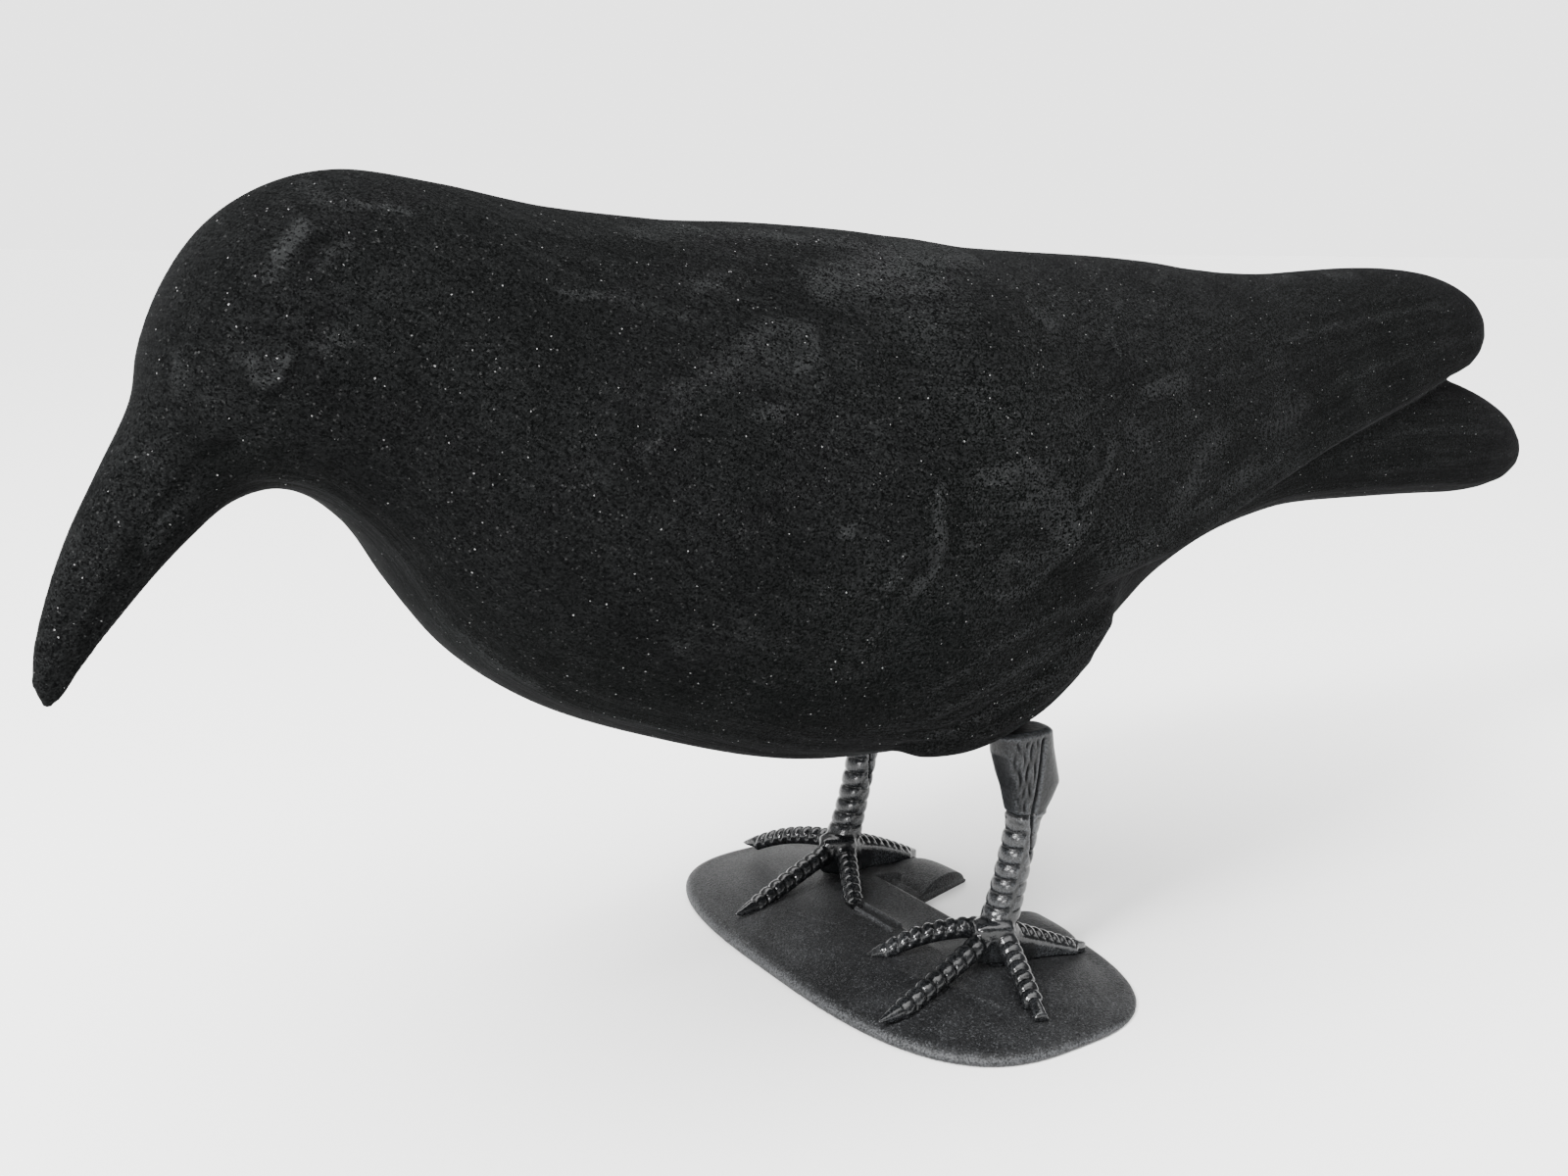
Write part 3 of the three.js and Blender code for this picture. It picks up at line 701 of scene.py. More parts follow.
    def form(self, shape: Form, turn: np.ndarray, along: np.ndarray) -> np.ndarray:
        """Puts points on the skin of one of the two main forms, at the bird's place."""
        return shape.skin(turn, along) + np.array([self.offset, 0.0, 0.0])

    def side_view(self, points: np.ndarray) -> tuple[np.ndarray, np.ndarray]:
        """Returns the x and z of points in the bird's own side view."""
        return points[:, 0] - self.offset, points[:, 2]

    def eyes(self, x: np.ndarray, z: np.ndarray) -> np.ndarray:
        """Measures the relief of the eyes and the rings round them.

        Args:
            x: Side-view x of the points.
            z: Side-view z of the points.

        Returns:
            Relief in millimetres.
        """
        reach = np.hypot((x - self.eye[0]) * self.eye_squeeze, z - self.eye[1])
        relief = self.eye_rise * np.sqrt(np.clip(1 - (reach / self.eye_ball) ** 2, 0, 1))
        for radius, height, width in self.eye_rings:
            relief += height * bell(reach - radius, width)
        return relief

    def long_feathers(self, x: np.ndarray, z: np.ndarray) -> tuple[np.ndarray, np.ndarray]:
        """Measures the relief of the feathers that run to the ends of the wings and the tail.

        Args:
            x: Side-view x of the points.
            z: Side-view z of the points.

        Returns:
            Relief in millimetres, and how far each point is on the wing, from 0 to 1.
        """
        _, share, chord = MANTLE.read(x, z)
        wing = smoothstep(share, -0.01, 0.02) * smoothstep(210 - x, 0, 16) * smoothstep(x, -70, -50)
        up = share * chord
        out = np.zeros(len(x))
        for place, height, width in self.wing_rows:
            edge = ledge(up - place * chord, 3 * width, 0.6 * width)
            out += height * edge * wing * smoothstep(x, 5, 45)
        _, share, chord = TRUNK.read(x, z)
        on_tail = smoothstep(x, 90, 130) * (1 - wing)
        for place in self.tail_rows:
            out += self.tail_raised * ledge((share - place) * chord, 3.0, 0.8) * on_tail
        return out, wing

    def streaks(self, x: np.ndarray, z: np.ndarray, share: np.ndarray, chord: np.ndarray) -> np.ndarray:
        """Measures the fine lines that follow the belly, the crown and the tufts.

        Args:
            x: Side-view x of the points.
            z: Side-view z of the points.
            share: Shares of the trunk's height.
            chord: The trunk's heights there.

        Returns:
            Relief in millimetres.
        """
        edge = np.minimum(share, 1 - share) * chord
        drift = 3.0 * np.sin(x / 27.0) + 2.0 * np.sin(x / 11.0 + z / 19.0)
        rim = np.sin((edge + drift * 0.5) * 2 * math.pi / self.streak_pitch)
        rim *= smoothstep(26 - edge, 0, 20)
        front = 1 - smoothstep(x, -30, 20)
        angle = math.radians(self.tuft_turn)
        down = (x - self.tuft_place[0]) * math.sin(angle) + (z - self.tuft_place[2]) * math.cos(angle)
        over_tuft = bell(x - 8, 34) * bell(z - 74, 17)
        tuft = np.sin((down + 0.8 * np.sin(x / 9.0)) * 2 * math.pi / self.tuft_pitch) * over_tuft
        return self.streak_height * rim * (0.35 + 0.65 * front) + self.tuft_height * tuft

    def shape(self) -> Carving:
        """Fuses the bird's forms and evens out where the wings leave the shoulders.

        Returns:
            The plain bird.
        """
        moulding = Moulding("crow_skin", self.voxel)
        moulding.loft(96, 190, partial(self.form, TRUNK))
        moulding.loft(120, 110, partial(self.form, MANTLE))
        for side in Side:
            moulding.loft(48, 32, partial(self.tuft, side))
        skin = moulding.fused()
        skin.smooth(2)
        x, z = self.side_view(skin.points())
        front, rear, low, high = self.shoulder
        skin.smooth(self.shoulder_rounds, (x > front) & (x < rear) & (z > low) & (z < high))
        return skin

    def carve(self, skin: Carving) -> None:
        """Raises the feathers, the face and the streaks.

        Args:
            skin: The plain bird.
        """
        x, z = self.side_view(skin.points())
        sideways = np.abs(skin.normals()[:, 1])
        _, share, chord = TRUNK.read(x, z)
        coverts = np.zeros(len(x))
        for feather in self.feathers:
            coverts = np.maximum(coverts, feather.relief(x, z))
        lines = sum(mark.raised * mark.weight(x, z) for mark in self.marks if mark.raised)
        long, _ = self.long_feathers(x, z)
        relief = (coverts + lines + self.eyes(x, z)) * smoothstep(sideways, 0.12, 0.5)
        relief += self.streaks(x, z, share, chord)
        skin.raise_by(relief + long * smoothstep(sideways, 0.0, 0.3))
        skin.smooth(1)

    def build(self) -> bpy.types.Object:
        """Builds the bird, with a hollow for each leg.

        Returns:
            Its object.
        """
        skin = self.shape()
        self.carve(skin)
        for side in Side:
            leg = Leg(side)
            skin.cut(lofted(40, 60, partial(leg.thigh, grow=leg.gap)))
        return skin.finish(*self.wear_and_painted_light(skin))

    def wear_and_painted_light(self, skin: Carving) -> tuple[dict[str, np.ndarray], dict[str, np.ndarray]]:
        """Measures where dust and painted highlight lie on the bird, where its underside gets painted
        shade, and how its fibres run.

        Args:
            skin: The carved bird.

        Returns:
            Numbers for the points, and maps for the fibres, both by name.
        """
        x, z = self.side_view(skin.points())
        normals = skin.normals()
        facing = smoothstep(np.abs(normals[:, 1]), 0.05, 0.3)
        dust = np.zeros(len(x))
        barbs = np.zeros(len(x))
        # The marks' dust is partly dust and partly painted highlight on ridges that catch the light.
        for mark in self.marks:
            if mark.dust:
                weight = mark.weight(x, z) * facing
                dust = np.maximum(dust, mark.dust * weight)
                barbs = np.maximum(barbs, weight if mark.barbed else 0)
        along, share, chord = TRUNK.read(x, z)
        trunk_flow = np.stack([self.flow_length * along, share * chord], axis=1) * MM
        _, wing = self.long_feathers(x, z)
        wing_flow = np.stack([x, z - self.wing_slope * x + self.flow_shift], axis=1) * MM
        # Painted shade: the dust haze is thinned where the skin faces down, so the underside reads darker;
        # the rows of settling then scale it along the bird.
        settled = blend(0.62, 1.0, smoothstep(normals[:, 2], -0.75, 0.15))
        for before, after, start, end in self.settling:
            settled *= blend(before, after, smoothstep(x, start, end))
        values = {
            "crest": skin.crests(), "dust": dust, "barbs": barbs, "settled": settled,
            "wing": wing * smoothstep(x, -10, 20),
        }
        return values, {"flow": trunk_flow, "wing_flow": wing_flow}


def plates(run: np.ndarray, fullness: float = 2.6) -> np.ndarray:
    """Profiles a row of rounded plates: 1 on each plate, and 0 where run is a whole number."""
    return np.sqrt(1 - np.abs(2 * np.mod(run, 1.0) - 1) ** fullness)


@dataclass(frozen=True)
class Toe:
    """A toe.

    Args:
        length: From the ankle to the claw's tip.
        turn: Degrees from the middle toe.
        arch: How late the ridge falls.
        plates: Plates along the ridge.
        spread: How much wider it grows to its root.
        blunt: Whether its claw ends square.
        sink: How far below the foot's top its ridge starts.
        walled: Whether a wall fills the space under it.
    """

    length: float
    turn: float
    arch: float
    plates: int
    spread: float = 1.0
    blunt: bool = False
    sink: float = 0.0
    walled: bool = False


TOES: dict[Side, tuple[Toe, ...]] = {
    Side.LEFT: (
        Toe(31.6, -45, 2.6, 8),
        Toe(42.2, 0, 1.0, 9),
        Toe(27, 57, 1.1, 7, blunt=True),
        Toe(25.5, 163, 1.0, 7, 1.5, sink=0.2, walled=True),
    ),
    Side.RIGHT: (
        Toe(30, 49, 1.1, 8),
        Toe(39.5, 0, 1.2, 9),
        Toe(33, -80, 2.2, 8),
        Toe(27.5, 176, 1.3, 7, 1.5, walled=True),
    ),
}


@dataclass
class Leg:
    """A moulded leg: thigh block, plated shin, and a foot that sits on the base.

    A groove of the thigh is its share of the way from the front to the seam, and its depth. The depths of
    the shin's plates are shares of its half width.
    """

    side: Side
    ankle_x: float = 7.0
    stance: float = 61.0
    height: float = 60.0
    thigh_length: float = 20.0
    thigh_depth: float = 15.0
    thigh_width: float = 9.4
    shin_depth: float = 7.7
    shin_width: float = 7.4
    lean: float = 0.23
    foot_turn: float = 11.5
    foot_top: float = 15.8
    finger: float = 2.75
    groove: float = 1.25
    bead: float = 0.7
    crease: float = 0.4
    thigh_grooves: tuple[tuple[float, float], ...] = (
        (0.10, 0.4), (0.22, 0.55), (0.36, 0.38), (0.48, 0.6), (0.62, 0.42), (0.78, 0.5),
    )
    thigh_groove_width: float = 0.42
    thigh_seam: float = 1.0
    scute_depth: float = 0.23
    rear_scute_depth: float = 0.17
    side_seam_depth: float = 0.1
    knuckle_reach: float = 4.6
    knuckle_size: tuple[float, float] = (5.0, 4.3)
    cap_place: tuple[float, float] = (-3.3, -1.4)
    cap_size: tuple[float, float] = (5.0, 3.3)
    cap_turn: float = -28.0
    cap_low: float = 6.0
    cap_reach: float = 6.5
    claw_share: float = 0.165
    claw_end: float = 4.3
    gap: float = 0.3
    voxel: float = 0.3
    scute_edges: tuple[float, ...] = (15.2, 18.5, 21.7, 25.0, 28.4, 32.1, 35.8, 39.8)

    @property
    def ankle(self) -> np.ndarray:
        """The ankle's place on the ground."""
        return np.array([self.ankle_x, self.side.value * self.stance / 2, 0.0])

    def thigh(self, turn: np.ndarray, along: np.ndarray, grow: float = 0.0) -> np.ndarray:
        """Places the thigh block: a flat bevelled top, a rear fin, and a taper into the shin.

        Args:
            turn: Angles round it.
            along: Shares down it.
            grow: How much larger to make it, for the hollow that it sits in.

        Returns:
            Points.
        """
        knee = self.lean * (self.height - self.thigh_length - self.foot_top)
        depth, width = self.thigh_depth, self.thigh_width
        front = knee - self.shin_depth / 2
        rear = knee + self.shin_depth / 2
        rows = np.array(
            [
                (0.0, 0.3 * depth, 0.32 * depth, 0.02 * width),
                (0.0, -0.16 * depth, 0.70 * depth, 0.40 * width),
                (0.04, -0.22 * depth, 0.76 * depth, 0.5 * width),
                (0.25, -0.2 * depth, 0.8 * depth, 0.51 * width),
                (0.5, -0.09 * depth, 0.89 * depth, 0.5 * width),
                (0.68, 0.0, 0.96 * depth, 0.47 * width),
                (0.85, 0.06 * depth, 0.84 * depth, 0.44 * width),
                (1.0, front, rear + self.shin_depth / 6, self.shin_width / 2),
                (1.1, front + 0.3, rear, self.shin_width / 2 - 0.2),
                (1.2, front + 3, rear - 3, 0.4),
            ]
        )
        marks = np.array([0.0, 0.16, 0.2, 0.36, 0.52, 0.64, 0.74, 0.84, 0.93, 1.0])
        down, ahead, behind, half = (np.interp(along, marks, rows[:, column]) for column in range(4))
        pole = at_poles(along)
        half_depth = np.where(pole, 0.0, (behind - ahead) / 2 + grow)
        spots = np.empty((len(turn), 3))
        spots[:, 0] = (ahead + behind) / 2 + half_depth * powered(np.cos(turn), 0.6)
        spots[:, 1] = np.where(pole, 0.0, half + grow) * powered(np.sin(turn), 0.6)
        spots[:, 2] = self.height + np.where(along < 0.3, grow, 0.0) - down * self.thigh_length
        return spots + self.ankle

    def shin(self, turn: np.ndarray, along: np.ndarray) -> np.ndarray:
        """Places the shin: plates down its front, smaller ones behind, and a seam between them.

        Args:
            turn: Angles round it.
            along: Shares down it.

        Returns:
            Points.
        """
        low = self.foot_top - 3.0
        rise = self.height - self.thigh_length - low
        up = np.clip(1 - (along - 0.04) / 0.92, 0, 1)
        flare = (1 - up) ** 4
        height = low + up * rise
        ahead = -np.cos(turn)
        count = np.arange(len(self.scute_edges), dtype=float)
        run = np.interp(height, self.scute_edges, count)
        run_behind = np.interp(height + 0.9, self.scute_edges, count)
        front = smoothstep(ahead, 0.27, 0.42)
        behind = 1 - smoothstep(ahead, 0.08, 0.2)
        fade = 0.35 + 0.65 * smoothstep(38 - height, 0, 8)
        swell = (
            1.07
            - self.scute_depth * (1 - plates(run)) * front
            - self.rear_scute_depth * (1 - plates(run_behind)) * behind * fade
            - self.side_seam_depth * bell(ahead - 0.24, 0.07)
        )
        pole = at_poles(along)
        spots = np.empty((len(turn), 3))
        spots[:, 0] = self.lean * up * rise - 0.17 * self.shin_depth * flare
        spots[:, 0] += np.where(pole, 0.0, self.shin_depth / 2 * (swell + 0.3 * flare)) * np.cos(turn)
        spots[:, 1] = np.where(pole, 0.0, self.shin_width / 2 * (swell + 0.15 * flare)) * np.sin(turn)
        spots[:, 2] = height
        return spots + self.ankle

    def toe(self, toe: Toe, turn: np.ndarray, along: np.ndarray) -> np.ndarray:
        """Places a toe: a plated finger, free of the base but for its claw or its wall.

        Args:
            toe: Which toe.
            turn: Angles round it, from the top.
            along: Shares from the ankle to the claw's tip.

        Returns:
            Points.
        """
        plated = toe.length * (1 - self.claw_share)
        out = along * toe.length
        rise, across = np.cos(turn), np.sin(turn)
        claw = smoothstep(out, plated - 0.5, plated + 0.7)
        left = np.clip((toe.length - out) / (toe.length - plated), 0, 1)
        nail = 0.66 - 0.2 * left if toe.blunt else 0.74 * left**0.7
        finger = toe.spread ** (1 - along) * (1 - 0.12 * along)
        half = self.finger * blend(finger, nail, claw)
        end = self.claw_end - 0.9 if toe.walled else self.claw_end + 0.7
        ridge = blend(self.foot_top - 0.3 - toe.sink, end, along**toe.arch)
        girth = half - self.trim(toe, out, rise) * (1 - claw)
        centre = np.maximum(ridge - half, 1.5)
        depth = 0.85 * girth
        if toe.walled:
            depth = centre - 0.5
            across = np.where(rise < 0, powered(across, 0.6) * (1 - 0.1 * rise), across)
        pole = at_poles(along)
        wide = np.where(pole, 0.0, girth * across)
        height = centre + rise * np.where(rise > 0, girth, depth)
        x, y = turned(out, wide, math.pi + math.radians(toe.turn + self.foot_turn))
        return np.stack([x, y, np.where(pole, np.maximum(centre, 3.2), height)], axis=1) + self.ankle

    def trim(self, toe: Toe, out: np.ndarray, rise: np.ndarray) -> np.ndarray:
        """Measures the grooves between a toe's plates and beads, and the crease that parts their rows.

        Args:
            toe: Which toe.
            out: Distances from the ankle.
            rise: 1 on the toe's ridge, 0 on its sides and -1 underneath.

        Returns:
            Depths in millimetres.
        """
        plated = toe.length * (1 - self.claw_share)
        pitch = (plated - self.knuckle_reach) / toe.plates
        run = (out - self.knuckle_reach) / pitch
        line = 0.5 if toe.walled else -0.17
        top = smoothstep(rise, line, line + 0.2)
        flank = smoothstep(rise, -0.8, -0.65) * (1 - smoothstep(rise, -0.35, -0.22))
        depth = self.groove * (1 - plates(run)) * top + self.crease * bell(rise - line, 0.08)
        if not toe.walled:
            depth += self.bead * (1 - plates(run + 0.5)) * flank
        return depth * smoothstep(out, 3.4, 5.0)

    def knuckle(self, turn: np.ndarray, along: np.ndarray) -> np.ndarray:
        """Places the block that the toes leave from.

        Args:
            turn: Angles round it.
            along: Shares down it.

        Returns:
            Points.
        """
        fall = along * math.pi
        reach = powered(np.sin(fall), 0.42)
        top = self.foot_top - 1.4
        long, wide = self.knuckle_size
        spots = np.empty((len(turn), 3))
        spots[:, 0] = long * reach * powered(np.cos(turn), 0.8) - 0.4
        spots[:, 1] = wide * reach * powered(np.sin(turn), 0.8)
        spots[:, 2] = (top + 0.5) / 2 + (top - 0.5) / 2 * powered(np.cos(fall), 0.42)
        return spots + self.ankle

    def cap(self, turn: np.ndarray, along: np.ndarray) -> np.ndarray:
        """Places the flat plate in front of the shin, with its upright front.

        Args:
            turn: Angles round it.
            along: Shares down it.

        Returns:
            Points.
        """
        fall = along * math.pi
        reach = powered(np.sin(fall), 0.5)
        long, deep = self.cap_size
        x, y = turned(
            long * reach * powered(np.cos(turn), 0.45),
            deep * reach * powered(np.sin(turn), 0.45),
            math.radians(self.cap_turn),
        )
        top, low = self.foot_top + 0.1, self.cap_low
        height = (top + low) / 2 + (top - low) / 2 * powered(np.cos(fall), 0.4)
        return np.stack([self.cap_place[0] + x, self.cap_place[1] + y, height], axis=1) + self.ankle

    def carve(self, skin: Carving) -> None:
        """Cuts the grooves of the thigh, its seam, and the line and the ledge beneath it.

        Args:
            skin: The plain leg.
        """
        x, _, z = (skin.points() - self.ankle).T
        low = self.height - self.thigh_length
        on_thigh = smoothstep(z, low - 0.3, low + 2.0) * smoothstep(self.height - 1.2 - z, 0, 1.6)
        flat = smoothstep(np.abs(skin.normals()[:, 1]), 0.3, 0.8)
        share = np.clip((z - low) / self.thigh_length, 0, 1)
        seam = 5.3 + 1.5 * share
        front = blend(1.0, -3.0, share)
        out = np.zeros(len(x))
        for place, depth in self.thigh_grooves:
            centre = front + (seam - front) * (place + 0.03 * np.sin(z * 0.9 + 9 * place))
            worn = 0.55 + 0.45 * np.sin(z * 0.7 + 21 * place)
            out -= depth * worn * bell(x - centre, self.thigh_groove_width) * on_thigh * flat
        deep = smoothstep(z, 27.0, 33.0) * smoothstep(self.height - 1.0 - z, 0, 2)
        out -= self.thigh_seam * bell(x - seam, self.thigh_groove_width) * deep * flat
        out -= 0.55 * bell(z - low + 0.2, 0.45) * smoothstep(seam - 0.4 - x, 0, 0.6)
        under = (x > seam) & (z < low + 1.0) & (z > low - 1.5)
        out += np.where(under, 0.35 * bell(z - low + 0.3, 0.35), 0.0)
        skin.raise_by(out)

    def seat(self, skin: Carving) -> None:
        """Keeps the foot above the base.

        Args:
            skin: The carved leg.
        """
        points = skin.points()
        plate = BasePlate()
        x, y = points[:, 0], points[:, 1]
        floor = plate.shaped(plate.height_at(x, y), x, y) + self.gap
        points[:, 2] = np.maximum(points[:, 2], floor)
        skin.move(points)

    def build(self, node: Node) -> bpy.types.Object:
        """Builds the leg.

        Args:
            node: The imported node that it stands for.

        Returns:
            Its object.
        """
        moulding = Moulding(f"{node.value}_moulding", self.voxel)
        moulding.loft(48, 70, self.thigh)
        moulding.loft(64, 150, self.shin)
        moulding.loft(48, 36, self.knuckle)
        moulding.loft(64, 60, self.cap)
        for toe in TOES[self.side]:
            moulding.loft(48, 170, partial(self.toe, toe))
        skin = moulding.fused()
        self.carve(skin)
        skin.smooth(1)
        x, y, height = (skin.points() - self.ankle).T
        from_cap = np.hypot(x - self.cap_place[0], y - self.cap_place[1])
        skin.smooth(9, (from_cap < self.cap_reach) & (np.abs(height - self.foot_top + 1) < 2.2))
        crest = skin.crests()
        self.seat(skin)
        # Where the hind toe's wall is, which gets painted light.
        wall = smoothstep(x, 6, 9) * smoothstep(self.foot_top - height, 2, 4)
        return skin.finish(self.wear_and_painted_light(skin, crest, wall))

    def wear_and_painted_light(self, skin: Carving, crest: np.ndarray, wall: np.ndarray) -> dict[str, np.ndarray]:
        """Measures where the leg gets painted highlight and painted light, where its hollows get painted
        shade, and how dull it is.

        Args:
            skin: The seated leg.
            crest: How far each point stands out.
            wall: How far each point belongs to the hind toe's wall.

        Returns:
            Numbers for the points by name.
        """
        wall = wall * smoothstep(0.6 - np.abs(skin.normals()[:, 2]), 0, 0.3)
        height = skin.points()[:, 2]
        low = self.height - self.thigh_length
        on_shin = smoothstep(height, self.foot_top - 1, self.foot_top + 2)
        on_thigh = smoothstep(height, low - 0.5, low + 1)
        # Painted light on the thigh's sides; its top, under the belly, is left dark as painted shade.
        sides = on_thigh * smoothstep(0.6 - skin.normals()[:, 2], 0, 0.3)
        # Painted shade: the hollows lose their reflection in the material.
        hollow = np.clip(-crest, 0, 1)
        # Painted highlight on the crests, strong on the shin and thigh and faint on the toes.
        crest = np.maximum(crest * blend(0.15, 0.9, on_shin), (0.07 + 0.35 * crest) * sides)
        # Painted light on the hind toe's wall, which lies in the toe's shade.
        crest = np.maximum(crest, 0.4 * wall)
        return {"crest": crest, "hollow": hollow, "dull": 0.5 * on_shin + 0.4 * on_thigh}


@dataclass
class BasePlate:
    """The domed base, with a rounded rim, a step, a bar and a notch in its rear edge.

    Its length runs across the bird. A fine line is its path on the ground plan and how far it is raised.
    """

    length: float = 129.0
    width: float = 74.0
    squareness: float = 2.95
    front_rim: float = 3.4
    rear_rim: float = 1.4
    crest: float = 6.4
    crest_offset: float = -4.0
    fall: float = 2.2
    rounding: float = 4.8
    notch_length: float = 32.0
    notch_inner_length: float = 19.0
    notch_depth: float = 24.5
    step: float = 11.5
    valley_length: float = 54.0
    valley_rise: float = 2.4
    bar_length: float = 61.0
    bar_width: float = 19.0
    bar_inset: float = 1.0
    bar_rise: float = 5.0
    trough_start: float = -3.4
    trough_length: float = 48.0
    trough_depth: float = 1.1
    voxel: float = 0.5
    lines: tuple[tuple[Path, float], ...] = (
        (((-2.9, 7.0), (-2.9, -6.5)), 0.9),
        (((-6.8, 6.0), (-6.8, -7.5)), 0.9),
        (((-6.8, 6.0), (-4.6, 8.6), (-2.9, 7.0)), 0.3),
        (((-18.9, 15.8), (-15.9, 5.9), (-9.7, 1.9), (-7.9, -5.1)), 0.2),
        (((-17.6, -19.0), (-16.0, -28.0), (-10.8, -36.4), (-7.9, -42.0)), 0.2),
        (((-10.6, -38.0), (-8.6, -42.5), (-6.5, -46.2)), 0.25),
    )

    def rim_at(self, turn: np.ndarray) -> np.ndarray:
        """Returns the rim's height at angles round the base."""
        return blend(self.front_rim, self.rear_rim, (1 + np.cos(turn)) / 2)

    def height_at(self, x: np.ndarray, y: np.ndarray) -> np.ndarray:
        """Finds the height of the dome's top.

        Args:
            x: Places along the bird.
            y: Places across it.

        Returns:
            Heights, which are 0 past the top's edge.
        """
        power = self.squareness
        step, share = 0.5, np.full_like(x, 0.5)
        for _ in range(16):
            centre_x = self.crest_offset * (1 - share)
            outline = (
                np.abs((x - centre_x) / (share * (self.width / 2 - self.rounding))) ** power
                + np.abs(y / (share * (self.length / 2 - self.rounding))) ** power
            )
            step = step / 2
            share = np.clip(np.where(outline > 1, share + step, share - step), 0.02, 1.0)
        turn = np.arctan2(y / self.length, (x - self.crest_offset * (1 - share)) / self.width)
        return np.where(share < 0.995, blend(self.crest, self.rim_at(turn), share**self.fall), 0.0)

    def shaped(self, top: np.ndarray, x: np.ndarray, y: np.ndarray) -> np.ndarray:
        """Takes the valley off the dome's top, and adds the rounded bar behind it.

        Args:
            top: Heights of the dome.
            x: Their places along the bird.
            y: Their places across it.

        Returns:
            The heights of the finished top.
        """
        end = self.valley_length / 2
        floor = blend(self.valley_rise, 1.1 * self.crest, smoothstep(np.abs(y), 0.7 * end, end))
        cut = smoothstep(x, self.step - 0.4, self.step + 0.8)
        lowered = blend(top, np.minimum(top, floor), cut)
        girth = (1 - np.clip(np.abs(y) / (self.bar_length / 2), 0, 1) ** 6) ** (1 / 6)
        middle = (self.width - self.bar_width) / 2 - self.bar_inset
        reach = np.abs(x - middle) / np.maximum(girth * self.bar_width / 2, 0.1)
        bar = self.bar_rise * girth * (1 - np.clip(reach, 0, 1) ** 2.2) ** 0.45
        return np.maximum(lowered, bar)

    def dome(self, turn: np.ndarray, along: np.ndarray) -> np.ndarray:
        """Places the flat underside, the rim and the dome.

        Args:
            turn: Angles round it.
            along: Shares from the middle of the underside to the crest.

        Returns:
            Points.
        """
        marks = np.array([0.0, 0.30, 0.33, 0.36, 0.39, 0.42, 0.46, 0.50])
        insets = self.rounding * np.array([8.0, 0.12, 0.03, 0.0, 0.03, 0.15, 0.42, 1.0])
        rises = np.array([0.0, 0.0, 0.14, 0.3, 0.5, 0.72, 0.91, 1.0])
        under, over = marks[1], marks[-1]
        rim = self.rim_at(turn)
        rise = np.interp(along, marks, rises)
        power = 2 / self.squareness
        low = along < under
        shrink = np.where(low, along / under, 1.0)
        inset = np.where(low, insets[1], np.interp(along, marks, insets))
        outline = np.stack(
            [
                (self.width / 2 - inset) * powered(np.cos(turn), power),
                (self.length / 2 - inset) * powered(np.sin(turn), power),
            ],
            axis=1,
        ) * shrink[:, None]
        share = np.clip((1 - along) / (1 - over), 0, 1)
        crest = np.array([self.crest_offset, 0.0])
        outline = np.where((along > over)[:, None], crest + (outline - crest) * share[:, None], outline)
        height = np.where(along > over, blend(self.crest, rim, share**self.fall), rim * rise)
        return np.column_stack([outline, height])

    def notch(self) -> bmesh.types.BMesh:
        """Makes the form that cuts the notch, which widens to the rear edge.

        Returns:
            The form, for its caller to free.
        """
        shape = bmesh.new()
        bmesh.ops.create_cube(shape, size=1.0)
        bmesh.ops.scale(shape, vec=(2 * self.notch_depth, 1, 30), verts=shape.verts)
        outer_length = 2 * self.notch_length - self.notch_inner_length
        for vert in shape.verts:
            vert.co.y *= self.notch_inner_length if vert.co.x < 0 else outer_length
        upright = [edge for edge in shape.edges if abs(edge.verts[0].co.z - edge.verts[1].co.z) > 1]
        bmesh.ops.bevel(
            shape, geom=upright, offset=0.8, affect="EDGES", segments=3, profile=0.5, material=-1
        )
        bmesh.ops.translate(shape, vec=(self.width / 2, 0, 0), verts=shape.verts)
        return shape

    def carve(self, skin: Carving) -> None:
        """Shapes the top behind the step, sinks the trough, and raises the fine lines on the dome.

        Args:
            skin: The plain base.
        """
        points, normals = skin.points(), skin.normals()
        x, y, z = points.T.copy()
        above = smoothstep(normals[:, 2], 0.3, 0.7) * (z > 1.0)
        points[:, 2] = np.where(above > 0, self.shaped(z, x, y), z)
        between = smoothstep(self.trough_length / 2 - np.abs(y), 0, 8)
        share = np.clip((x - self.trough_start) / (self.step - self.trough_start), 0, 1)
        out = -self.trough_depth * np.sin(share**0.7 * math.pi) * between
        for path, height in self.lines:
            out += height * Mark(path, 0.6).weight(x, y)
        points[:, 2] += out * above
        skin.move(points)

    def build(self) -> bpy.types.Object:
        """Builds the base.

        Returns:
            Its object.
        """
        moulding = Moulding("base_plate", self.voxel)
        moulding.loft(160, 120, self.dome)
        skin = moulding.fused()
        skin.smooth(1)
        points = skin.points()
        points[:, 2] = np.where(points[:, 2] < 0.12, 0.0, points[:, 2])
        skin.move(points)
        self.carve(skin)
        skin.cut(self.notch())
        return skin.finish(self.wear_and_painted_light(skin))

    def wear_and_painted_light(self, skin: Carving) -> dict[str, np.ndarray]:
        """Measures where the base gets painted highlight, on the rounding of its rim and on its raised
        lines, and how dull it is.

        Args:
            skin: The finished base.

        Returns:
            Numbers for the points by name.
        """
        x, y, _ = skin.points().T
        power = self.squareness
        edge = (np.abs(x) / (self.width / 2)) ** power + (np.abs(y) / (self.length / 2)) ** power
        slope = skin.normals()[:, 2]
        # Painted highlight: the rim's rounding is lightened, most where it turns toward the top, and not at
        # the rear.
        shoulder = blend(0.45, 1.0, smoothstep(slope, -0.1, 0.4)) * smoothstep(0.995 - slope, 0, 0.4)
        rim = 0.72 * smoothstep(edge, 0.55, 0.85) * shoulder * smoothstep(20 - x, 0, 12)
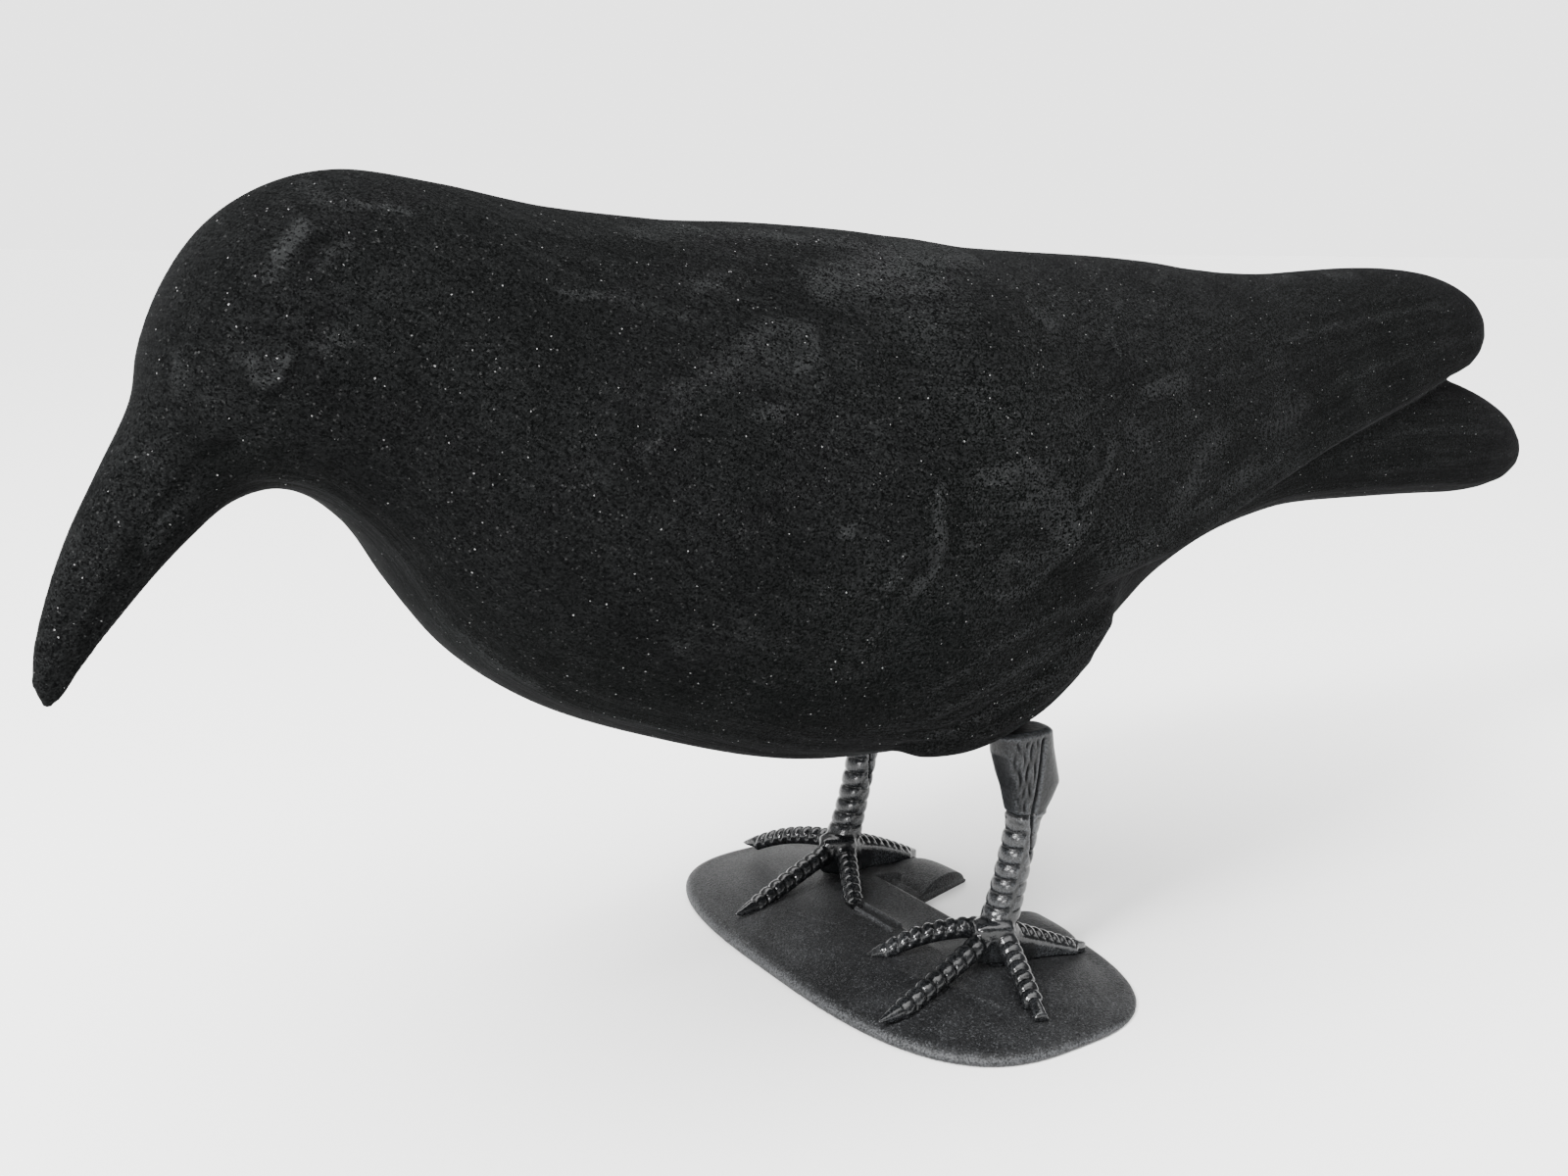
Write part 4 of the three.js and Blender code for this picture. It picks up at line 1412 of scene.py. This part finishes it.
        # Painted highlight along the raised lines.
        ridge_highlight = sum(Mark(path, 0.5).weight(x, y) for path, height in self.lines if height > 0.4)
        return {"crest": np.maximum(rim, 0.9 * ridge_highlight * (slope > 0.3)), "dull": np.ones(len(x))}


class Shader:
    """A small helper for writing a material's nodes."""

    def __init__(self, name: str) -> None:
        """Starts a material with a Principled shader and an output.

        Args:
            name: The material's name.
        """
        self.material = bpy.data.materials.new(name)
        self.material.use_nodes = True
        self.tree = self.material.node_tree
        self.tree.nodes.clear()
        self.surface = self.tree.nodes.new("ShaderNodeBsdfPrincipled")
        output = self.tree.nodes.new("ShaderNodeOutputMaterial")
        self.link(self.surface.outputs["BSDF"], output.inputs["Surface"])

    def link(self, source: Socket, target: Socket) -> None:
        """Joins two sockets."""
        self.tree.links.new(source, target)

    def set(self, **values: float | tuple[float, ...]) -> None:
        """Sets the shader's own sockets, with underscores for spaces."""
        for name, value in values.items():
            self.surface.inputs[name.replace("_", " ")].default_value = value

    def coordinates(self, kind: str, scale: tuple[float, float, float]) -> Socket:
        """Reads coordinates at a scale.

        Args:
            kind: Object, or the name of one of the piece's own maps.
            scale: Repeats per metre along each axis.

        Returns:
            The scaled vector.
        """
        if kind != "Object":
            source = self.tree.nodes.new("ShaderNodeUVMap")
            source.uv_map = kind
            vector = source.outputs["UV"]
        else:
            vector = self.tree.nodes.new("ShaderNodeTexCoord").outputs[kind]
        mapping = self.tree.nodes.new("ShaderNodeMapping")
        mapping.inputs["Scale"].default_value = scale
        self.link(vector, mapping.inputs["Vector"])
        return mapping.outputs["Vector"]

    def everywhere(self, repeats: float) -> Socket:
        """Reads the piece's own places, with the same repeats per metre along each axis."""
        return self.coordinates("Object", (repeats,) * 3)

    def cells(self, repeats: float) -> tuple[Socket, Socket]:
        """Scatters cells over the piece, each with its own numbers.

        Args:
            repeats: Cells per metre.

        Returns:
            Two numbers from 0 to 1 that are the same all over a cell.
        """
        spots = self.tree.nodes.new("ShaderNodeTexVoronoi")
        spots.inputs["Scale"].default_value = 1.0
        self.link(self.everywhere(repeats), spots.inputs["Vector"])
        parts = self.tree.nodes.new("ShaderNodeSeparateColor")
        self.link(spots.outputs["Color"], parts.inputs["Color"])
        return parts.outputs["Red"], parts.outputs["Green"]

    def noise(self, vector: Socket, detail: float = 2.0, rough: float = 0.5) -> Socket:
        """Adds a noise of unit scale.

        Args:
            vector: Where to read it.
            detail: How many finer layers it has.
            rough: How strong the finer layers are.

        Returns:
            Its value, from 0 to 1.
        """
        node = self.tree.nodes.new("ShaderNodeTexNoise")
        node.inputs["Scale"].default_value = 1.0
        node.inputs["Detail"].default_value = detail
        node.inputs["Roughness"].default_value = rough
        self.link(vector, node.inputs["Vector"])
        return node.outputs["Fac"]

    def ranged(
        self, value: Socket, low: float, high: float, start: float = 0.0, end: float = 1.0
    ) -> Socket:
        """Maps low to start and high to end, and holds it there outside.

        Args:
            value: The number to map.
            low: Where the change starts.
            high: Where it ends.
            start: What low becomes.
            end: What high becomes.

        Returns:
            The mapped number.
        """
        node = self.tree.nodes.new("ShaderNodeMapRange")
        for name, number in (("From Min", low), ("From Max", high), ("To Min", start), ("To Max", end)):
            node.inputs[name].default_value = number
        self.link(value, node.inputs["Value"])
        return node.outputs["Result"]

    def math(self, kind: str, one: Socket | float, two: Socket | float) -> Socket:
        """Adds a Math node on two values.

        Args:
            kind: The node's operation.
            one: The first value.
            two: The second value.

        Returns:
            The result.
        """
        node = self.tree.nodes.new("ShaderNodeMath")
        node.operation = kind
        for socket, value in zip(node.inputs, (one, two)):
            if isinstance(value, Socket):
                self.link(value, socket)
            else:
                socket.default_value = value
        return node.outputs["Value"]

    def mixed(self, share: Socket, one: Colour | Socket, two: Colour) -> Socket:
        """Mixes two colours.

        Args:
            share: How much of the second.
            one: The first colour.
            two: The second colour.

        Returns:
            The mixed colour.
        """
        node = self.tree.nodes.new("ShaderNodeMix")
        node.data_type = "RGBA"
        self.link(share, node.inputs["Factor"])
        for socket, value in ((node.inputs[6], one), (node.inputs[7], two)):
            if isinstance(value, Socket):
                self.link(value, socket)
            else:
                socket.default_value = (*value, 1.0)
        return node.outputs[2]

    def blended(self, share: Socket, one: Socket, two: Socket) -> Socket:
        """Mixes two numbers.

        Args:
            share: How much of the second.
            one: The first number.
            two: The second number.

        Returns:
            The mixed number.
        """
        node = self.tree.nodes.new("ShaderNodeMix")
        for socket, value in zip(node.inputs, (share, None, one, two)):
            if value is not None:
                self.link(value, socket)
        return node.outputs["Result"]

    def attribute(self, name: str) -> Socket:
        """Reads one of the piece's own values.

        Args:
            name: The value's name.

        Returns:
            The value.
        """
        node = self.tree.nodes.new("ShaderNodeAttribute")
        node.attribute_name = name
        return node.outputs["Fac"]

    def bump(self, height: Socket, depth: float, strength: float = 1.0) -> None:
        """Drives the shader's normal from a height.

        Args:
            height: Heights from 0 to 1.
            depth: What 1 stands for, in metres.
            strength: How strongly it acts.
        """
        node = self.tree.nodes.new("ShaderNodeBump")
        node.inputs["Strength"].default_value = strength
        node.inputs["Distance"].default_value = depth
        self.link(height, node.inputs["Height"])
        self.link(node.outputs["Normal"], self.surface.inputs["Normal"])


@dataclass(frozen=True)
class Flock:
    """Black flock: deep matte fibre, a grey that is lighter on the carving's edges, dust and painted
    highlight along marks, painted shade underneath, barbs, and bright specks that are partly painted
    glints.
    """

    deep: Colour = (0.0009, 0.001, 0.001)
    # The grey that the flock is lightened toward, by dust and by painted highlight.
    worn: Colour = (0.0142, 0.0148, 0.015)
    # Bright specks: flecks of pale fibre and dust, partly painted glints of the fibres.
    speck: Colour = (0.2, 0.2, 0.2)
    clumps: float = 2900
    specks: float = 4200
    clouds: float = 55
    body_strokes: tuple[float, float] = (95, 900)
    wing_strokes: tuple[float, float] = (70, 1000)
    wing_barbs: tuple[float, float] = (125, 60)
    barb_dust: float = 0.22
    barb_rise: float = 0.8
    crest_lightening: float = 0.16
    mark_dust_and_highlight: float = 0.68

    def strokes(self, shader: Shader) -> Socket:
        """Combs the fibres along the body, and along the feathers on the wing.

        Args:
            shader: The material that is being written.

        Returns:
            A finely streaked number from 0 to 1.
        """
        brushed = shader.noise(shader.coordinates("flow", (*self.body_strokes, 1)), 2.0, 0.6)
        combed = shader.noise(shader.coordinates("wing_flow", (*self.wing_strokes, 1)), 2.0, 0.6)
        return shader.blended(shader.attribute("wing"), brushed, combed)

    def barbs(self, shader: Shader, patches: Socket) -> Socket:
        """Draws ragged barbs across the feathers that have them.

        Args:
            shader: The material that is being written.
            patches: Soft patches, in which the barbs fade.

        Returns:
            How strongly a place lies on a barb.
        """
        waves = shader.tree.nodes.new("ShaderNodeTexWave")
        for name, value in (("Scale", 1.0), ("Distortion", 3.0), ("Detail", 3.0), ("Detail Scale", 2.2)):
            waves.inputs[name].default_value = value
        shader.link(shader.coordinates("wing_flow", (*self.wing_barbs, 1)), waves.inputs["Vector"])
        ragged = shader.math("MULTIPLY", waves.outputs["Fac"], shader.ranged(patches, 0.35, 0.65, 0.2, 1.2))
        return shader.math("MULTIPLY", shader.attribute("barbs"), ragged)

    def dust_and_painted_light(self, shader: Shader, patches: Socket, strokes: Socket, barbed: Socket) -> Socket:
        """Lays a haze of dust all over, lighter on crests and thinned underneath as painted shade, and adds
        dust and painted highlight along marks, and dust on barbs.

        Args:
            shader: The material that is being written.
            patches: Soft patches, in which the haze is thicker.
            strokes: The fibres' streaks.
            barbed: How strongly a place lies on a barb.

        Returns:
            How far a place is lightened by dust and painted highlight, after the painted shade underneath.
        """
        crest = shader.ranged(shader.attribute("crest"), -0.3, 0.8)
        lined = shader.ranged(strokes, 0.38, 0.72)
        dust = shader.math("MULTIPLY", shader.attribute("dust"), shader.ranged(strokes, 0.3, 0.7, 0.3, 1.3))
        dust = shader.math("ADD", dust, shader.math("MULTIPLY", barbed, self.barb_dust))
        haze = shader.ranged(patches, 0.35, 0.75, 0.15, 0.33)
        haze = shader.math("MULTIPLY", haze, shader.ranged(lined, 0, 1, 0.7, 1.3))
        haze = shader.math("ADD", haze, shader.math("MULTIPLY", crest, self.crest_lightening))
        # Painted shade: the haze is thinned where the skin faces down.
        haze = shader.math("MULTIPLY", haze, shader.attribute("settled"))
        # The marks add dust and painted highlight.
        return shader.math("ADD", haze, shader.math("MULTIPLY", dust, self.mark_dust_and_highlight))

    def grain(self, shader: Shader, shade: Socket, coarse: Socket) -> Socket:
        """Varies the dust from clump to clump, most behind the neck and least on the tail.

        Args:
            shader: The material that is being written.
            shade: A number for each clump.
            coarse: A number for each speck.

        Returns:
            What to multiply the dust by.
        """
        parts = shader.tree.nodes.new("ShaderNodeSeparateXYZ")
        shader.link(shader.everywhere(1), parts.inputs["Vector"])
        crisp = shader.ranged(parts.outputs["X"], -0.08, 0.0, 1.0, 1.7)
        crisp = shader.math("MULTIPLY", crisp, shader.ranged(parts.outputs["X"], 0.06, 0.14, 1.0, 0.6))
        grain = shader.math("MULTIPLY", crisp, shader.ranged(shade, 0.0, 1.0, -1.0, 1.0))
        grain = shader.math("ADD", grain, 0.95)
        return shader.math("ADD", grain, shader.ranged(coarse, 0.7, 1.0, 0.0, 1.4))

    def material(self) -> bpy.types.Material:
        """Writes the material.

        Returns:
            The material.
        """
        shader = Shader("black_flock")
        shade, pick = shader.cells(self.clumps)
        coarse, rare = shader.cells(self.specks)
        patches = shader.noise(shader.everywhere(self.clouds), 4.0, 0.6)
        strokes = self.strokes(shader)
        barbed = self.barbs(shader, patches)
        dust = self.dust_and_painted_light(shader, patches, strokes, barbed)
        dust = shader.math("MULTIPLY", dust, self.grain(shader, shade, coarse))
        colour = shader.mixed(dust, self.deep, self.worn)
        # Bright specks: flecks of pale fibre and dust, partly painted glints of the fibres.
        bright = shader.ranged(rare, 0.999, 0.9998)
        bright = shader.math("MAXIMUM", bright, shader.ranged(pick, 0.98, 1.0, 0.0, 0.08))
        colour = shader.mixed(bright, colour, self.speck)
        shader.link(colour, shader.surface.inputs["Base Color"])
        shader.set(
            Roughness=1.0, Specular_IOR_Level=0.02, Sheen_Weight=0.01, Sheen_Roughness=0.3,
            Sheen_Tint=(0.85, 0.87, 0.9, 1.0),
        )
        height = shader.math("ADD", shader.math("MULTIPLY", shade, 0.4), strokes)
        height = shader.math("ADD", height, shader.math("MULTIPLY", barbed, self.barb_rise))
        shader.bump(height, 0.0005, 0.7)
        return shader.material


@dataclass(frozen=True)
class SatinPlastic:
    """Black moulded plastic: crests lightened as painted highlight, reflections cut in hollows as painted
    shade, and a grain that may be fine or coarse.
    """

    name: str
    rough: tuple[float, float]
    gloss: float
    grain_depth: float
    lump_depth: float
    sparkle: float
    dulled: float
    dust_and_highlight_colour: Colour
    dark: Colour
    clouds: float = 90
    grains: float = 2200
    flecks: float = 3200
    lumps: float = 850

    def material(self) -> bpy.types.Material:
        """Writes the material.

        Returns:
            The material.
        """
        shader = Shader(self.name)
        cloud = shader.noise(shader.everywhere(self.clouds), 3.0)
        grain = shader.noise(shader.everywhere(self.grains), 2.0, 0.65)
        # The crest value carries painted highlight on crests and rims, and painted light on the thigh's
        # sides and the hind toes' walls: it lightens the colour and brings out more flecks.
        crest = shader.ranged(shader.attribute("crest"), 0.0, 0.8)
        share = shader.ranged(cloud, 0.4, 0.75, 0.05, 0.25)
        share = shader.math("ADD", share, shader.math("MULTIPLY", crest, 0.6))
        share = shader.math("MULTIPLY", share, shader.ranged(grain, 0.38, 0.62, 0.2, 1.8))
        fleck, sheen = shader.cells(self.flecks)
        bright = shader.ranged(fleck, 0.85, 1.0, 0.0, self.sparkle)
        share = shader.math("ADD", share, shader.math("MULTIPLY", bright, shader.math("ADD", crest, 0.15)))
        shader.link(shader.mixed(share, self.dark, self.dust_and_highlight_colour), shader.surface.inputs["Base Color"])
        dull = shader.attribute("dull")
        shader.link(shader.ranged(dull, 0.0, 1.0, *self.rough), shader.surface.inputs["Roughness"])
        gloss = shader.ranged(sheen, 0.0, 1.0, self.gloss * (1 - self.sparkle / 7), self.gloss)
        # Painted shade: reflections are cut in the hollows.
        hollow_shade = shader.ranged(shader.attribute("hollow"), 0.05, 0.6, 1.0, 0.15)
        gloss = shader.math("MULTIPLY", gloss, hollow_shade)
        gloss = shader.math("MULTIPLY", gloss, shader.ranged(dull, 0.5, 1.0, 1.0, self.dulled))
        shader.link(gloss, shader.surface.inputs["Specular IOR Level"])
        lumps = shader.noise(shader.everywhere(self.lumps), 1.0)
        height = shader.math("MULTIPLY", grain, self.grain_depth)
        height = shader.math("ADD", height, shader.math("MULTIPLY", lumps, self.lump_depth))
        shader.bump(height, 0.001)
        return shader.material


@dataclass(frozen=True)
class Studio:
    """The pale floor, the soft lights and the camera.

    A light is its name, place, side and power. The sky is a row of heights and the brightness there, and
    it leans so that the front is brighter than the rear.
    """

    camera_place: tuple[float, float, float] = (-0.21508, -0.27288, 0.16484)
    heading: float = -33.73
    dip: float = 12.6
    roll: float = -0.37
    lens: float = 35.0
    sensor: float = 36.0
    floor_colour: Colour = (0.88, 0.88, 0.877)
    floor_reach: float = 40.0
    sky: tuple[tuple[float, float], ...] = (
        (0.0, 2.9), (0.15, 2.9), (0.2, 0.4), (0.64, 0.55), (0.83, 6.8), (1.0, 7.6),
    )
    brightest: float = 8.0
    lean: float = 0.6
    aim: tuple[float, float, float] = (0.02, 0.0, 0.08)
    lights: tuple[tuple[str, tuple[float, float, float], float, float], ...] = (
        ("key", (-1.3, -0.3, 1.0), 0.36, 46.0),
        ("fill", (-0.9, -0.9, 0.4), 0.25, 13.0),
    )

    def camera(self) -> None:
        """Makes the camera at the photograph's place."""
        heading, dip, roll = (math.radians(value) for value in (self.heading, self.dip, self.roll))
        forward = Vector(
            (-math.sin(heading) * math.cos(dip), math.cos(heading) * math.cos(dip), -math.sin(dip))
        )
        right = Vector((math.cos(heading), math.sin(heading), 0.0))
        down = forward.cross(right)
        turned_right = right * math.cos(roll) + down * math.sin(roll)
        turned_down = down * math.cos(roll) - right * math.sin(roll)
        camera = bpy.data.cameras.new("camera")
        camera.lens = self.lens
        camera.sensor_width = self.sensor
        camera.sensor_fit = "HORIZONTAL"
        camera.clip_start = 0.01
        holder = bpy.data.objects.new("camera", camera)
        axes = Matrix((turned_right, -turned_down, -forward)).transposed()
        holder.matrix_world = Matrix.Translation(self.camera_place) @ axes.to_4x4()
        bpy.context.collection.objects.link(holder)
        bpy.context.scene.camera = holder

    def floor(self) -> None:
        """Makes the pale floor."""
        shape = bmesh.new()
        bmesh.ops.create_grid(shape, x_segments=8, y_segments=8, size=self.floor_reach)
        mesh = bpy.data.meshes.new("floor")
        shape.to_mesh(mesh)
        shape.free()
        floor = bpy.data.objects.new("floor", mesh)
        bpy.context.collection.objects.link(floor)
        shader = Shader("pale_floor")
        shader.set(Base_Color=(*self.floor_colour, 1.0), Roughness=0.9, Specular_IOR_Level=0.1)
        mesh.materials.append(shader.material)

    def light(self, name: str, place: Vector, size: float, power: float) -> None:
        """Adds a soft square light that faces the bird.

        Args:
            name: Its name.
            place: Where it stands.
            size: Its side.
            power: Its power in watts.
        """
        lamp = bpy.data.lights.new(name, "AREA")
        lamp.shape = "SQUARE"
        lamp.size = size
        lamp.energy = power
        holder = bpy.data.objects.new(name, lamp)
        aim = (Vector(self.aim) - place).to_track_quat("-Z", "Y")
        holder.matrix_world = Matrix.Translation(place) @ aim.to_matrix().to_4x4()
        bpy.context.collection.objects.link(holder)

    def surround(self) -> None:
        """Makes the white surround: bright at the horizon and overhead, and dim between."""
        world = bpy.data.worlds.new("studio")
        world.use_nodes = True
        tree = world.node_tree
        place = tree.nodes.new("ShaderNodeTexCoord")
        parts = tree.nodes.new("ShaderNodeSeparateXYZ")
        tree.links.new(place.outputs["Generated"], parts.inputs["Vector"])
        rise = tree.nodes.new("ShaderNodeValToRGB")
        stops = rise.color_ramp.elements
        while len(stops) < len(self.sky):
            stops.new(0.5)
        for stop, (height, level) in zip(stops, self.sky):
            stop.position = height
            stop.color = (*(level / self.brightest,) * 3, 1.0)
        tree.links.new(parts.outputs["Z"], rise.inputs["Fac"])
        front = tree.nodes.new("ShaderNodeMapRange")
        for name, number in (
            ("From Min", -1.0), ("From Max", 1.0),
            ("To Min", self.brightest * (1 + self.lean)), ("To Max", self.brightest * (1 - self.lean)),
        ):
            front.inputs[name].default_value = number
        tree.links.new(parts.outputs["X"], front.inputs["Value"])
        raised = tree.nodes.new("ShaderNodeMapRange")
        for name, number in (("From Min", 0.15), ("From Max", 0.2), ("To Min", self.brightest)):
            raised.inputs[name].default_value = number
        tree.links.new(parts.outputs["Z"], raised.inputs["Value"])
        tree.links.new(front.outputs["Result"], raised.inputs["To Max"])
        level = tree.nodes.new("ShaderNodeMath")
        level.operation = "MULTIPLY"
        tree.links.new(rise.outputs["Color"], level.inputs[0])
        tree.links.new(raised.outputs["Result"], level.inputs[1])
        tree.links.new(level.outputs["Value"], tree.nodes["Background"].inputs["Strength"])
        tree.nodes["Background"].inputs["Color"].default_value = (1.0, 1.0, 0.997, 1.0)
        bpy.context.scene.world = world

    def build(self) -> None:
        """Sets the whole studio up."""
        self.camera()
        self.floor()
        for name, place, size, power in self.lights:
            self.light(name, Vector(place), size, power)
        self.surround()


def settle(piece: bpy.types.Object, node: Node, material: bpy.types.Material) -> None:
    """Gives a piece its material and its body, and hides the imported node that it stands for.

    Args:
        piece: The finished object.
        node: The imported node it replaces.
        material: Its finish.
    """
    piece.data.materials.append(material)
    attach(piece, "root")
    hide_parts(node.value)
    LOG.info("%s: %d faces", piece.name, len(piece.data.polygons))


def main() -> None:
    """Builds the decoy and its studio."""
    logging.basicConfig(level=logging.INFO)
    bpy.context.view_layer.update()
    polished = SatinPlastic(
        "polished_black_plastic", rough=(0.14, 0.34), gloss=0.38, grain_depth=0.03, lump_depth=0.09,
        sparkle=0.1, dulled=0.3, dust_and_highlight_colour=(0.034, 0.036, 0.039), dark=(0.0014, 0.0015, 0.0016),
    ).material()
    grained = SatinPlastic(
        "grained_black_plastic", rough=(0.2, 0.46), gloss=0.32, grain_depth=0.2, lump_depth=0.0,
        sparkle=5.0, dulled=1.0, dust_and_highlight_colour=(0.044, 0.0455, 0.048), dark=(0.0034, 0.0035, 0.0038),
    ).material()
    settle(Crow().build(), Node.BODY, Flock().material())
    settle(Leg(Side.LEFT).build(Node.LEFT_LEG), Node.LEFT_LEG, polished)
    settle(Leg(Side.RIGHT).build(Node.RIGHT_LEG), Node.RIGHT_LEG, polished)
    settle(BasePlate().build(), Node.BASE, grained)
    Studio().build()


if __name__ == "__main__":
    main()
